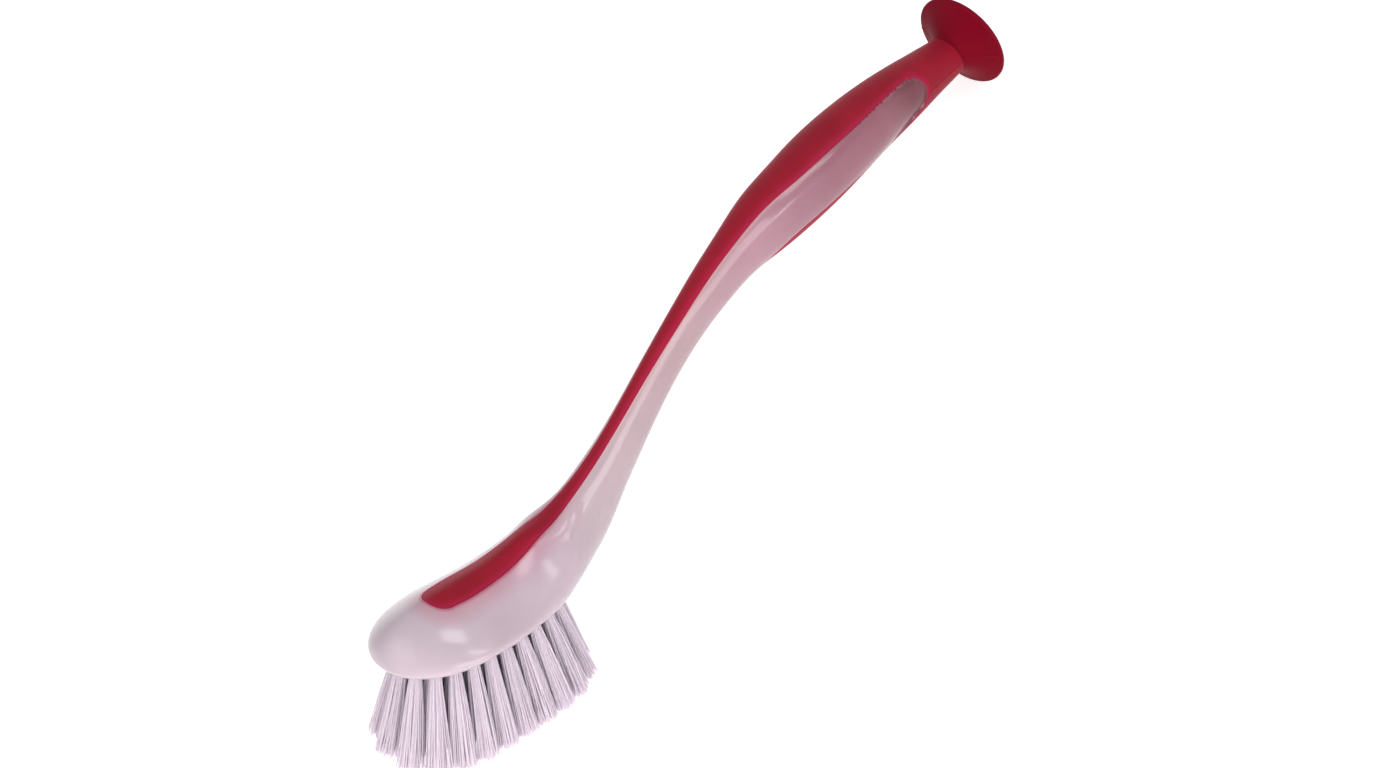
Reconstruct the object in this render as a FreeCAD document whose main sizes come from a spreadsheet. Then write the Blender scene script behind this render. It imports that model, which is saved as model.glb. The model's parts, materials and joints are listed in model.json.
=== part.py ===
import FreeCAD, Part
import math
import os
from collections import namedtuple

import Sketcher

# A dish brush with a two-material handle: a translucent plastic body, a soft second shot on it,
# a soft suction cup on its end, and fanned bristle tufts held in the head by metal anchors.
# It is drawn with the bristle face level, the head's tip at the origin and the handle along +X.
# At the end the whole brush is laid down, so that it rests on its rear bristle tips and the cup.

# Driving sizes, in millimetres and degrees
SIZES = {
    # Head: the bristle face is its flat underside, the widest line lies above that face
    "head_length": 71.3,
    "head_width": 39.2,
    "nose_length": 26.2,
    "widest_height": 4.7,
    "crown_height": 13.5,
    "belly_depth": 6.5,
    # Handle: run and climb from the head to the end of the collar
    "handle_reach": 178.4,
    "handle_rise": 96.3,
    "neck_root_height": 11.7,
    "neck_width": 10.2,
    "neck_depth": 15.2,
    "grip_width": 22.0,
    "grip_depth": 26.0,
    "collar_diameter": 14.0,
    # Soft second shot
    "skin_depth": 1.8,
    "inlay_start": 18.2,
    "inlay_length": 45.7,
    "inlay_nose_length": 5.9,
    "inlay_width": 12.2,
    "inlay_waist": 4.6,
    "inlay_grip_width": 14.6,
    "window_radius": 6.5,
    "window_offset": 2.2,
    # Suction cup: a ball root in the collar, a trumpet back, a flat rim and a domed hollow
    "cup_tilt": 20.0,
    "cup_diameter": 33.2,
    "cup_depth": 8.2,
    "cup_edge_height": 1.6,
    "cup_edge_round": 0.6,
    "cup_back_radius": 24.0,
    "rim_width": 2.2,
    "hollow_depth": 6.4,
    "root_wall": 0.5,
    "root_clearance": 0.3,
    "root_setback": 1.2,
    # Bristle tufts and their anchors
    "hole_diameter": 3.4,
    "hole_depth": 9.0,
    "tuft_clearance": 0.05,
    "tuft_length": 31.8,
    "tuft_tip_diameter": 7.2,
    "fan_angle_along": 13.8,
    "fan_angle_across": 13.8,
    "field_front_margin": 9.8,
    "field_heel_margin": 8.1,
    "field_side_margin": 8.56,
    "ring_inset_along": 6.0,
    "ring_inset_across": 5.5,
    "tuft_pitch": 5.95,
    "anchor_bite": 0.4,
    "anchor_height": 1.6,
    "anchor_thickness": 0.4,
    "anchor_seat": 0.8,
    # Length by which every cutting shape passes the form that it cuts
    "overrun": 40.0,
}

# Fullness of a quarter of a section: 0.5523 is a quarter ellipse, less is leaner, more is squarer
ELLIPSE_FULL_SHARE = 0.5523
BELLY_FULL_SHARE = 0.59
CROWN_FULL_SHARE = 0.25
FLANK_FULL_SHARE = 0.13

# Stations of the rounded nose, as angles of a quarter turn, with the bluntness of plan and crown
NOSE_ANGLES = (8.0, 24.0, 42.0, 63.0, 90.0)
NOSE_PLAN_POWER = 0.93
NOSE_CROWN_POWER = 0.76
CORE_NOSE_STATIONS = 2

# Head behind its widest place: shares of its length, of the crown height above the widest line,
# of its width, of the crown height and of the belly depth; then slope, crown and flank fullness
HEAD_SHARES = (
    (0.489, -0.03, 0.985, 1.032, 1.11, 2.0, 0.25, 0.13),
    (0.618, -0.02, 0.940, 1.046, 1.10, 6.0, 0.25, 0.13),
    (0.746, 0.06, 0.871, 1.080, 1.47, 12.0, 0.26, 0.15),
    (0.875, 0.26, 0.747, 1.052, 1.69, 20.0, 0.31, 0.23),
)

# Handle: shares of its reach and rise, slope, then shares of the width and depth that it follows
HANDLE_SHARES = (
    (0.000, 0.000, 30.0, "neck", 2.199, 1.625),
    (0.048, 0.046, 37.5, "neck", 1.586, 1.618),
    (0.095, 0.126, 44.4, "neck", 1.333, 1.342),
    (0.141, 0.211, 46.8, "neck", 1.157, 1.158),
    (0.230, 0.385, 44.6, "neck", 1.000, 1.000),
    (0.327, 0.546, 38.3, "neck", 1.098, 1.040),
    (0.381, 0.619, 33.4, "neck", 1.275, 1.130),
    (0.438, 0.683, 27.9, "grip", 0.673, 0.754),
    (0.502, 0.738, 22.2, "grip", 0.845, 0.900),
    (0.571, 0.783, 19.8, "grip", 0.945, 0.969),
    (0.641, 0.830, 19.5, "grip", 1.000, 1.000),
    (0.712, 0.875, 17.6, "grip", 0.982, 0.969),
    (0.788, 0.916, 14.3, "grip", 0.909, 0.892),
    (0.868, 0.949, 12.6, "grip", 0.818, 0.785),
    (0.929, 0.973, 13.5, "collar", 1.150, 1.230),
)

# Top strip in plan, on the head: shares of its length behind the rounded front, and of its width
INLAY_SHARES = (
    (0.000, 0.940),
    (0.123, 1.000),
    (0.250, 0.983),
    (0.400, 0.925),
    (0.545, 0.865),
    (0.693, 0.782),
    (0.843, 0.676),
    (1.000, 0.570),
)

# Top strip in plan, on the handle: shares of the reach, and of the width that it follows there
STRIP_SHARES = (
    (0.037, "inlay_waist", 1.10),
    (0.152, "inlay_waist", 1.00),
    (0.286, "inlay_waist", 1.35),
    (0.393, "inlay_grip_width", 0.53),
    (0.522, "inlay_grip_width", 0.81),
    (0.685, "inlay_grip_width", 1.00),
    (0.776, "inlay_grip_width", 0.85),
    (0.859, "inlay_grip_width", 0.67),
    (0.900, "inlay_grip_width", 0.62),
)

# Upper edge of the bottom skin, seen from the side: shares of the reach and of the half depth
BOTTOM_EDGE_SHARES = (
    (0.360, -1.30),
    (0.430, -1.00),
    (0.475, -0.62),
    (0.505, -0.47),
    (0.550, -0.40),
    (0.610, -0.43),
    (0.680, -0.51),
    (0.740, -0.64),
    (0.800, -0.66),
    (0.845, -0.52),
    (0.868, -0.42),
)

# Place of the window's round rear end along the handle's reach
WINDOW_END_SHARE = 0.858

# Corners of the tuft rings: 1 is an ellipse, less is squarer; and steps of their outline
RING_CORNER_SHARE = 0.68
RING_STEPS = 720

# Length of an untrimmed tuft, as a share of the trimmed one
TUFT_SPARE_SHARE = 1.15

# Two points this close are one point
SAME_POINT = 1e-6

Station = namedtuple("Station", "x z slope half_width rise drop full_top full_side full_bottom")

doc = FreeCAD.newDocument("dish_brush")
sheet = doc.addObject("Spreadsheet::Sheet", "dims")
for row, (name, value) in enumerate(SIZES.items(), start=1):
    sheet.set(f"A{row}", name)
    sheet.set(f"B{row}", str(value))
    sheet.setAlias(f"B{row}", name)
doc.recompute()


def size(name):
    """A driving size, read from the sheet."""
    return float(sheet.get(name))


def bind(obj, **expressions):
    """Bind properties of an object to cells of the sheet."""
    for prop, expression in expressions.items():
        obj.setExpression(prop, expression)
    return obj


def vector(x, y, z):
    return FreeCAD.Vector(x, y, z)


def feature(name, shape):
    """An object that holds a free curve or face, drawn from sizes of the sheet."""
    obj = doc.addObject("Part::Feature", name)
    obj.Shape = shape
    return obj


def combine(kind, name, base, tool):
    """A boolean of two objects: Part::Cut, Part::Common or Part::Fuse."""
    obj = doc.addObject(kind, name)
    obj.Base = base
    obj.Tool = tool
    return obj


def extrude(name, face, direction, forward, backward):
    """A face extruded both ways along a direction, by lengths bound to the sheet."""
    obj = doc.addObject("Part::Extrusion", name)
    obj.Base = face
    obj.DirMode = "Custom"
    obj.Dir = direction
    obj.Solid = True
    return bind(obj, LengthFwd=forward, LengthRev=backward)


# Stations of the form

def nose_stations():
    stations = []
    for angle in NOSE_ANGLES:
        turn = math.radians(angle)
        plan = math.sin(turn) ** NOSE_PLAN_POWER
        crown = math.sin(turn) ** NOSE_CROWN_POWER
        full_top = CROWN_FULL_SHARE + (ELLIPSE_FULL_SHARE - CROWN_FULL_SHARE) * (1 - plan)
        full_side = FLANK_FULL_SHARE + (ELLIPSE_FULL_SHARE - FLANK_FULL_SHARE) * (1 - plan)
        stations.append(Station(
            x=size("nose_length") * (1 - math.cos(turn)),
            z=size("widest_height"),
            slope=0.0,
            half_width=size("head_width") / 2 * plan,
            rise=size("crown_height") * crown,
            drop=size("belly_depth") * plan,
            full_top=full_top,
            full_side=full_side,
            full_bottom=BELLY_FULL_SHARE,
        ))
    return stations


def head_stations():
    stations = []
    for along, lift, width, crown, belly, slope, full_top, full_side in HEAD_SHARES:
        stations.append(Station(
            x=size("head_length") * along,
            z=size("widest_height") + size("crown_height") * lift,
            slope=slope,
            half_width=size("head_width") / 2 * width,
            rise=size("crown_height") * crown,
            drop=size("belly_depth") * belly,
            full_top=full_top,
            full_side=full_side,
            full_bottom=BELLY_FULL_SHARE,
        ))
    return stations


def followed_size(key):
    """Width and depth of the stretch of handle that a station follows."""
    if key == "collar":
        return size("collar_diameter"), size("collar_diameter")
    return size(f"{key}_width"), size(f"{key}_depth")


def reached(share):
    """Place along X at a share of the handle's reach."""
    return size("head_length") + size("handle_reach") * share


def handle_station(reach, rise, slope, key, width, depth):
    full_width, full_depth = followed_size(key)
    return Station(
        x=reached(reach),
        z=size("neck_root_height") + size("handle_rise") * rise,
        slope=slope,
        half_width=full_width * width / 2,
        rise=full_depth * depth / 2,
        drop=full_depth * depth / 2,
        full_top=ELLIPSE_FULL_SHARE,
        full_side=ELLIPSE_FULL_SHARE,
        full_bottom=ELLIPSE_FULL_SHARE,
    )


nose = nose_stations()
head = head_stations()
handle = [handle_station(*shares) for shares in HANDLE_SHARES]
collar_end = handle_station(1.0, 1.0, size("cup_tilt"), "collar", 1.0, 1.0)


def place_in_section(station, across, up):
    """Point of a station's section plane, from its place across the plane and up it."""
    slope = math.radians(station.slope)
    return vector(station.x - up * math.sin(slope), across, station.z + up * math.cos(slope))


def section_wire(station):
    """Closed section of four quarter curves, from the crown round by +Y."""
    wide, rise, drop = station.half_width, station.rise, station.drop
    top, side, low = station.full_top, station.full_side, station.full_bottom
    quarters = (
        ((0, rise), (top * wide, rise), (wide, side * rise), (wide, 0)),
        ((wide, 0), (wide, -low * drop), (low * wide, -drop), (0, -drop)),
        ((0, -drop), (-low * wide, -drop), (-wide, -low * drop), (-wide, 0)),
        ((-wide, 0), (-wide, side * rise), (-top * wide, rise), (0, rise)),
    )
    edges = []
    for poles in quarters:
        curve = Part.BezierCurve()
        curve.setPoles([place_in_section(station, *pole) for pole in poles])
        edges.append(curve.toShape())
    return Part.Wire(edges)


def shrunk(station, depth):
    """The same station, one skin depth inside."""
    return station._replace(
        half_width=station.half_width - depth,
        rise=station.rise - depth,
        drop=station.drop - depth,
    )


def loft(name, stations, apex=None):
    sections = []
    if apex is not None:
        sections.append(feature(f"{name}_apex", Part.Vertex(apex)))
    for number, station in enumerate(stations, start=1):
        sections.append(feature(f"{name}_section_{number:02d}", section_wire(station)))
    obj = doc.addObject("Part::Loft", name)
    obj.Sections = sections
    obj.Solid = True
    return obj


# Outer form of head and handle, and the core that the soft skin lies on

head_tip = vector(0, 0, size("widest_height"))
outer_form = loft("outer_form", nose + head + handle + [collar_end], apex=head_tip)
core_stations = nose[CORE_NOSE_STATIONS:] + head + handle
core_form = loft("core_form", [shrunk(station, size("skin_depth")) for station in core_stations])


# Zones of the soft second shot

def spine_station(share):
    """The handle's middle line, slope and depth at a share of its reach."""
    x = reached(share)
    line = handle + [collar_end]
    for near, far in zip(line, line[1:]):
        if x <= far.x:
            part = (x - near.x) / (far.x - near.x)
            mixed = [a + (b - a) * part for a, b in zip(near, far)]
            return Station(*mixed)
    return line[-1]


def closed_face(edges):
    return Part.Face(Part.Wire(edges))


def smooth_edge(points):
    curve = Part.BSplineCurve()
    curve.interpolate(points)
    return curve.toShape()


def straight_edges(points):
    return [Part.makeLine(a, b) for a, b in zip(points, points[1:])]


def inlay_outline():
    """Plan of the top strip: a round front, then both edges to past the window's end."""
    start = size("inlay_start") + size("inlay_nose_length")
    behind = size("inlay_length") - size("inlay_nose_length")
    side = []
    for along, width in INLAY_SHARES:
        side.append(vector(start + behind * along, size("inlay_width") * width / 2, 0))
    for reach, key, width in STRIP_SHARES:
        side.append(vector(reached(reach), size(key) * width / 2, 0))
    mirrored = [vector(point.x, -point.y, 0) for point in side]
    front = Part.Arc(mirrored[0], vector(size("inlay_start"), 0, 0), side[0]).toShape()
    rear = Part.makeLine(side[-1], mirrored[-1])
    return closed_face([front, smooth_edge(side), rear, smooth_edge(mirrored[::-1])])


def upper_outline():
    """Side view of everything above the middle line of head and handle."""
    line = [vector(station.x, 0, station.z) for station in nose[1:] + head + handle + [collar_end]]
    above = line[-1].z + size("overrun")
    corners = [line[-1], vector(line[-1].x, 0, above), vector(line[0].x, 0, above), line[0]]
    return closed_face(straight_edges(line) + straight_edges(corners))


def bottom_outline():
    """Side view of everything below the upper edge of the bottom skin."""
    edge = []
    for share, up_share in BOTTOM_EDGE_SHARES:
        station = spine_station(share)
        edge.append(place_in_section(station, 0, up_share * station.rise))
    below = edge[0].z - size("overrun")
    corners = [edge[-1], vector(edge[-1].x, 0, below), vector(edge[0].x, 0, below), edge[0]]
    return closed_face([smooth_edge(edge)] + straight_edges(corners))


strip_prism = extrude("strip_prism", feature("inlay_outline", inlay_outline()), vector(0, 0, 1),
                      "dims.neck_root_height + dims.handle_rise + dims.overrun", "dims.overrun")
upper_prism = extrude("upper_prism", feature("upper_outline", upper_outline()), vector(0, 1, 0),
                      "dims.head_width", "dims.head_width")
bottom_zone = extrude("bottom_zone", feature("bottom_outline", bottom_outline()), vector(0, 1, 0),
                      "dims.head_width", "dims.head_width")
top_zone = combine("Part::Common", "top_zone", strip_prism, upper_prism)

window_station = spine_station(WINDOW_END_SHARE)
window_centre = place_in_section(window_station, 0, size("window_offset"))
along_handle = FreeCAD.Rotation(vector(0, 1, 0), -window_station.slope)

window_end = doc.addObject("Part::Cylinder", "window_end")
bind(window_end, Radius="dims.window_radius", Height="2 * dims.overrun")
across = FreeCAD.Rotation(vector(1, 0, 0), 90)
window_end.Placement = FreeCAD.Placement(window_centre + vector(0, size("overrun"), 0), across)

collar_block = doc.addObject("Part::Box", "collar_block")
bind(collar_block, Length="2 * dims.overrun", Width="2 * dims.overrun", Height="2 * dims.overrun")
block_corner = along_handle.multVec(vector(0, -size("overrun"), -size("overrun")))
collar_block.Placement = FreeCAD.Placement(window_centre + block_corner, along_handle)
collar_zone = combine("Part::Cut", "collar_zone", collar_block, window_end)

soft_zones = doc.addObject("Part::MultiFuse", "soft_zones")
soft_zones.Shapes = [top_zone, bottom_zone, collar_zone]
soft_block = combine("Part::Common", "soft_block", outer_form, soft_zones)
soft_shot = combine("Part::Cut", "soft_shot", soft_block, core_form)


# Suction cup: its hinge point is the middle of the ball root, just past the collar's end

cup_tilt = math.radians(size("cup_tilt"))
cup_axis = vector(math.cos(cup_tilt), 0, math.sin(cup_tilt))
hinge_point = vector(collar_end.x, 0, collar_end.z) + cup_axis * size("root_setback")

socket = doc.addObject("Part::Sphere", "socket")
bind(socket, Radius="dims.collar_diameter / 2 - dims.root_wall")
socket.Placement = FreeCAD.Placement(hinge_point, FreeCAD.Rotation())

soft_grip = combine("Part::Cut", "soft_grip", soft_shot, socket)


def arc_by_radius(start, end, radius, side):
    """Arc from start to end with a given radius, bulging to the left (1) or right (-1)."""
    chord = end - start
    middle = (start + end) * 0.5
    left = vector(-chord.y, chord.x, 0)
    left.normalize()
    sagitta = radius - math.sqrt(radius ** 2 - (chord.Length / 2) ** 2)
    return Part.Arc(start, middle + left * (side * sagitta), end)


def origin_plane(body, role):
    return next(item for item in body.Origin.OriginFeatures if item.Role == role)


def ends_of(sketch, number, start):
    """Point numbers of a profile side: the one at its start corner, then the other one."""
    starts_there = sketch.getPoint(number, 1).isEqual(start, SAME_POINT)
    return (1, 2) if starts_there else (2, 1)


def locate(sketch, point, value, expression, kind):
    """Tie one coordinate of a profile corner to the sheet; kind is DistanceX or DistanceY."""
    if expression is None:
        axis = -2 if kind == "DistanceX" else -1
        sketch.addConstraint(Sketcher.Constraint("PointOnObject", *point, axis))
        return
    ends = (-1, 1, *point) if value > 0 else (*point, -1, 1)
    index = sketch.addConstraint(Sketcher.Constraint(kind, *ends, abs(value)))
    sketch.setExpression(f"Constraints[{index}]", expression)


def edges_at_radius(shape, radius):
    """Names of the circular edges of a turned shape that have a given radius."""
    names = []
    for number, edge in enumerate(shape.Edges, start=1):
        if edge.Degenerated or not isinstance(edge.Curve, Part.Circle):
            continue
        if math.isclose(edge.Curve.Radius, radius, abs_tol=SAME_POINT):
            names.append(f"Edge{number}")
    return names


def make_suction_cup():
    body = doc.addObject("PartDesign::Body", "suction_cup")
    sketch = body.newObject("Sketcher::SketchObject", "cup_profile")
    sketch.AttachmentSupport = (origin_plane(body, "XZ_Plane"), [""])
    sketch.MapMode = "FlatFace"

    root = size("collar_diameter") / 2 - size("root_wall") - size("root_clearance")
    root_text = "dims.collar_diameter / 2 - dims.root_wall - dims.root_clearance"
    depth = size("cup_depth")
    rim = size("cup_diameter") / 2
    rim_inner = rim - size("rim_width")
    hollow = size("hollow_depth")
    hollow_radius = (rim_inner ** 2 + hollow ** 2) / (2 * hollow)
    rim_text = "dims.cup_diameter / 2"
    inner_text = "(dims.cup_diameter / 2 - dims.rim_width)"
    hollow_text = f"({inner_text}^2 + dims.hollow_depth^2) / (2 * dims.hollow_depth)"
    # Corners of the half profile, from the ball root to the hollow, with what each is tied to
    corners = (
        (0, -root, None, root_text),
        (root, 0, root_text, None),
        (rim, depth - size("cup_edge_height"), rim_text, "dims.cup_depth - dims.cup_edge_height"),
        (rim, depth, rim_text, "dims.cup_depth"),
        (rim_inner, depth, inner_text, "dims.cup_depth"),
        (0, depth - hollow, None, "dims.cup_depth - dims.hollow_depth"),
    )
    # Side after each corner: radius, bulge and what the radius is tied to, or a straight side
    sides = (
        (root, -1, root_text),
        (size("cup_back_radius"), 1, "dims.cup_back_radius"),
        None,
        None,
        (hollow_radius, 1, hollow_text),
        None,
    )
    points = [vector(across, along, 0) for across, along, _, _ in corners]
    count = len(points)
    for number, side in enumerate(sides):
        start = points[number]
        end = points[(number + 1) % count]
        if side is None:
            sketch.addGeometry(Part.LineSegment(start, end))
        else:
            sketch.addGeometry(arc_by_radius(start, end, side[0], side[1]))
    ends = [ends_of(sketch, number, point) for number, point in enumerate(points)]
    for number, (across, along, across_text, along_text) in enumerate(corners):
        following = (number + 1) % count
        corner = (number, ends[number][0])
        sketch.addConstraint(Sketcher.Constraint(
            "Coincident", number, ends[number][1], following, ends[following][0]))
        locate(sketch, corner, across, across_text, "DistanceX")
        locate(sketch, corner, along, along_text, "DistanceY")
    for number, side in enumerate(sides):
        if side is not None:
            index = sketch.addConstraint(Sketcher.Constraint("Radius", number, side[0]))
            sketch.setExpression(f"Constraints[{index}]", side[2])

    turned = body.newObject("PartDesign::Revolution", "cup_form")
    turned.Profile = sketch
    turned.ReferenceAxis = (sketch, ["V_Axis"])
    doc.recompute()
    rounded = body.newObject("PartDesign::Fillet", "cup_lip")
    rounded.Base = (turned, edges_at_radius(turned.Shape, rim))
    bind(rounded, Radius="dims.cup_edge_round")
    body.Tip = rounded
    to_axis = FreeCAD.Rotation(vector(0, 1, 0), 90 - size("cup_tilt"))
    body.Placement = FreeCAD.Placement(hinge_point, to_axis)
    return body


suction_cup = make_suction_cup()


# Bristle tufts: two rings and a centre row, each tuft leaning away from the middle of the field

field_length = size("head_length") - size("field_front_margin") - size("field_heel_margin")
field_width = size("head_width") - 2 * size("field_side_margin")


def ring_points(length, width):
    """Evenly spaced points round an oval ring; two of them straddle its rear end."""
    outline = []
    for step in range(RING_STEPS + 1):
        turn = 2 * math.pi * step / RING_STEPS
        along, across = math.cos(turn), math.sin(turn)
        along = math.copysign(abs(along) ** RING_CORNER_SHARE, along)
        across = math.copysign(abs(across) ** RING_CORNER_SHARE, across)
        outline.append((length / 2 * along, width / 2 * across))
    runs = [0.0]
    for near, far in zip(outline, outline[1:]):
        runs.append(runs[-1] + math.dist(near, far))
    count = round(runs[-1] / size("tuft_pitch"))
    points = []
    step = 0
    for number in range(count):
        distance = runs[-1] * (number + 0.5) / count
        while runs[step + 1] < distance:
            step += 1
        part = (distance - runs[step]) / (runs[step + 1] - runs[step])
        near, far = outline[step], outline[step + 1]
        points.append((near[0] + (far[0] - near[0]) * part, near[1] + (far[1] - near[1]) * part))
    return points


def row_points(length):
    """Evenly spaced points along the middle of the field."""
    steps = round(length / size("tuft_pitch"))
    return [(length * (number / steps - 0.5), 0) for number in range(steps + 1)]


def tuft_placement(along, across):
    """Frame of a tuft: its origin in the bristle face, its Z out along the filaments."""
    lean_along = math.tan(math.radians(size("fan_angle_along")))
    lean_across = math.tan(math.radians(size("fan_angle_across")))
    direction = vector(lean_along * along / (field_length / 2),
                       lean_across * across / (field_width / 2), -1)
    turn = FreeCAD.Rotation(vector(1, 0, 0), vector(0, -1, 0), direction, "ZXY")
    middle = size("field_front_margin") + field_length / 2
    return FreeCAD.Placement(vector(middle + along, across, 0), turn)


def cylinder(name, placement, radius, height, start):
    obj = doc.addObject("Part::Cylinder", name)
    bind(obj, Radius=radius, Height=height)
    obj.Placement = placement.multiply(FreeCAD.Placement(start, FreeCAD.Rotation()))
    return obj


def make_hole(name, placement):
    start = vector(0, 0, -size("hole_depth"))
    return cylinder(name, placement, "dims.hole_diameter / 2",
                    "dims.hole_depth + dims.overrun", start)


def make_anchor(name, placement):
    """Flat metal anchor across the bottom of a hole, its ends bitten into the wall."""
    obj = doc.addObject("Part::Box", name)
    bind(obj, Length="dims.hole_diameter + 2 * dims.anchor_bite",
         Width="dims.anchor_thickness", Height="dims.anchor_height")
    corner = vector(-size("hole_diameter") / 2 - size("anchor_bite"),
                    -size("anchor_thickness") / 2,
                    size("anchor_seat") - size("hole_depth"))
    obj.Placement = placement.multiply(FreeCAD.Placement(corner, FreeCAD.Rotation()))
    return obj


def make_tuft(name, placement, anchor):
    """Filaments packed in the hole and spreading below the face, trimmed level."""
    packed = cylinder(f"{name}_root", placement, "dims.hole_diameter / 2 - dims.tuft_clearance",
                      "dims.hole_depth", vector(0, 0, -size("hole_depth")))
    spread = doc.addObject("Part::Cone", f"{name}_spread")
    growth = f"(dims.tuft_tip_diameter - dims.hole_diameter) / 2 * {TUFT_SPARE_SHARE}"
    bind(spread, Radius1="dims.hole_diameter / 2 - dims.tuft_clearance",
         Radius2=f"dims.hole_diameter / 2 - dims.tuft_clearance + {growth}",
         Height=f"dims.tuft_length * {TUFT_SPARE_SHARE}")
    spread.Placement = placement
    whole = combine("Part::Fuse", f"{name}_whole", packed, spread)
    trimmed = combine("Part::Cut", f"{name}_trimmed", whole, trim_block)
    return combine("Part::Cut", name, trimmed, anchor)


def group(name, members):
    obj = doc.addObject("Part::Compound", name)
    obj.Links = members
    return obj


def block_below(name, height):
    """Block under the brush, with its top at a height."""
    obj = doc.addObject("Part::Box", name)
    bind(obj, Length="dims.head_length + 2 * dims.overrun", Width="2 * dims.overrun",
         Height="dims.overrun")
    corner = vector(-size("overrun"), -size("overrun"), height - size("overrun"))
    obj.Placement = FreeCAD.Placement(corner, FreeCAD.Rotation())
    return obj


trim_block = block_below("trim_block", -size("tuft_length"))
face_block = block_below("face_block", 0)

field = ring_points(field_length, field_width)
field += ring_points(field_length - 2 * size("ring_inset_along"),
                     field_width - 2 * size("ring_inset_across"))
field += row_points(field_length - 4 * size("ring_inset_along"))

holes = []
anchors = []
tufts = []
for number, (along, across) in enumerate(field, start=1):
    placement = tuft_placement(along, across)
    anchor = make_anchor(f"anchor_{number:02d}", placement)
    anchors.append(anchor)
    holes.append(make_hole(f"hole_{number:02d}", placement))
    tufts.append(make_tuft(f"tuft_{number:02d}", placement, anchor))
tuft_anchors = group("tuft_anchors", anchors)
anchor_slots = group("anchor_slots", anchors)
tuft_holes = group("tuft_holes", holes)


# Body: the whole form without its soft skin, cut flat below, with its holes

hard_form = combine("Part::Cut", "hard_form", outer_form, soft_shot)
faced_form = combine("Part::Cut", "faced_form", hard_form, face_block)
drilled_form = combine("Part::Cut", "drilled_form", faced_form, tuft_holes)
body = combine("Part::Cut", "body", drilled_form, anchor_slots)
doc.recompute()


# Lying pose: turned about Y onto the rear bristle tips and the cup's rim, origin under the middle

def lying_placement(sub_parts):
    """Turn that brings the rear tuft's trimmed edge level with the cup's rounded lip."""
    rear_box = tufts[0].Shape.optimalBoundingBox(False, False)
    rear_tip = vector(rear_box.XMax, 0, rear_box.ZMin)
    lip = size("cup_edge_round")
    low_side = vector(cup_axis.z, 0, -cup_axis.x)
    lip_centre = hinge_point + cup_axis * (size("cup_depth") - lip)
    lip_centre += low_side * (size("cup_diameter") / 2 - lip)
    span = lip_centre - rear_tip
    lean = math.atan2(span.z, span.x) - math.asin(lip / span.Length)
    turn = FreeCAD.Rotation(vector(0, 1, 0), math.degrees(lean))
    turned = FreeCAD.Placement(FreeCAD.Vector(), turn)
    whole = Part.Compound([obj.Shape for obj in sub_parts])
    whole.Placement = turned
    box = whole.optimalBoundingBox(False, False)
    return FreeCAD.Placement(vector(-box.Center.x, -box.Center.y, -box.ZMin), turn)


sub_parts = [body, soft_grip, suction_cup, tuft_anchors] + tufts
lying = lying_placement(sub_parts)
for obj in sub_parts:
    obj.Placement = lying.multiply(obj.Placement)
doc.recompute()

for obj in doc.Objects:
    if "Invalid" in obj.State or "Error" in obj.State:
        raise RuntimeError(f"{obj.Label} failed: {obj.State}")
for obj in sub_parts:
    if obj.Shape.isNull() or not obj.Shape.isValid():
        raise RuntimeError(f"{obj.Label} has no valid shape")

os.makedirs("parts", exist_ok=True)
for obj in sub_parts:
    obj.Shape.exportStep(f"parts/{obj.Label}.step")
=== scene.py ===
import json
import math

import bmesh
import bpy
import numpy as np
from mathutils import Matrix, Vector


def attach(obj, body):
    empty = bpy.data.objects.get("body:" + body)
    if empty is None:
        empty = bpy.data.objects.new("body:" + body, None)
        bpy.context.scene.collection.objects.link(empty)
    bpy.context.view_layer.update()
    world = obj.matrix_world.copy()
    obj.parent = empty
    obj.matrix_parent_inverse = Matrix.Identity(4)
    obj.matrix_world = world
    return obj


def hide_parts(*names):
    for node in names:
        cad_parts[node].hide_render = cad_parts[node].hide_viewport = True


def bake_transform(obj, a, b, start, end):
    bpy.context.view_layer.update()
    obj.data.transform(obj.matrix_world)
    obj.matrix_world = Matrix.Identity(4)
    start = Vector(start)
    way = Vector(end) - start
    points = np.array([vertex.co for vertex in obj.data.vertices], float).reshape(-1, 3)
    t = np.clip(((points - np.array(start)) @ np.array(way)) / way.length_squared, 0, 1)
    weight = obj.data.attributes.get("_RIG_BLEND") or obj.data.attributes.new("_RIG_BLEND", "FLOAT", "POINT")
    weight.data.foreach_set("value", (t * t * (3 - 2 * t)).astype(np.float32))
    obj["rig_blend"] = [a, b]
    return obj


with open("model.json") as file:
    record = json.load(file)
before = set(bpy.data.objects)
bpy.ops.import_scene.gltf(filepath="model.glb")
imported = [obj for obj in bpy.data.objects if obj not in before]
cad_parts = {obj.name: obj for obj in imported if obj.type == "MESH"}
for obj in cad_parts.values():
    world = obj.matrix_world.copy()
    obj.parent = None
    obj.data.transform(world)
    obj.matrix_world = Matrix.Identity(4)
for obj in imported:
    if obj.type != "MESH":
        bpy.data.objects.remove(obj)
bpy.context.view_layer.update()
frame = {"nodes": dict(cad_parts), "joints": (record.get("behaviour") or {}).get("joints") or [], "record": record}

# The brush is worked out in millimetres in the head's frame: bristle face level at zero height,
# the head's tip at the origin, the handle along +X. One matrix then lays it down in the row frame.
MM = 0.001

# Head, handle and collar
HEAD_LENGTH = 71.3
HEAD_WIDTH = 39.2
NOSE_LENGTH = 26.2
WIDEST_HEIGHT = 4.7
CROWN_HEIGHT = 13.5
BELLY_DEPTH = 6.5
HANDLE_REACH = 178.4
HANDLE_RISE = 96.3
NECK_ROOT_HEIGHT = 11.7
NECK = (10.2, 15.2)
GRIP = (22.0, 26.0)
COLLAR = (14.0, 14.0)

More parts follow.
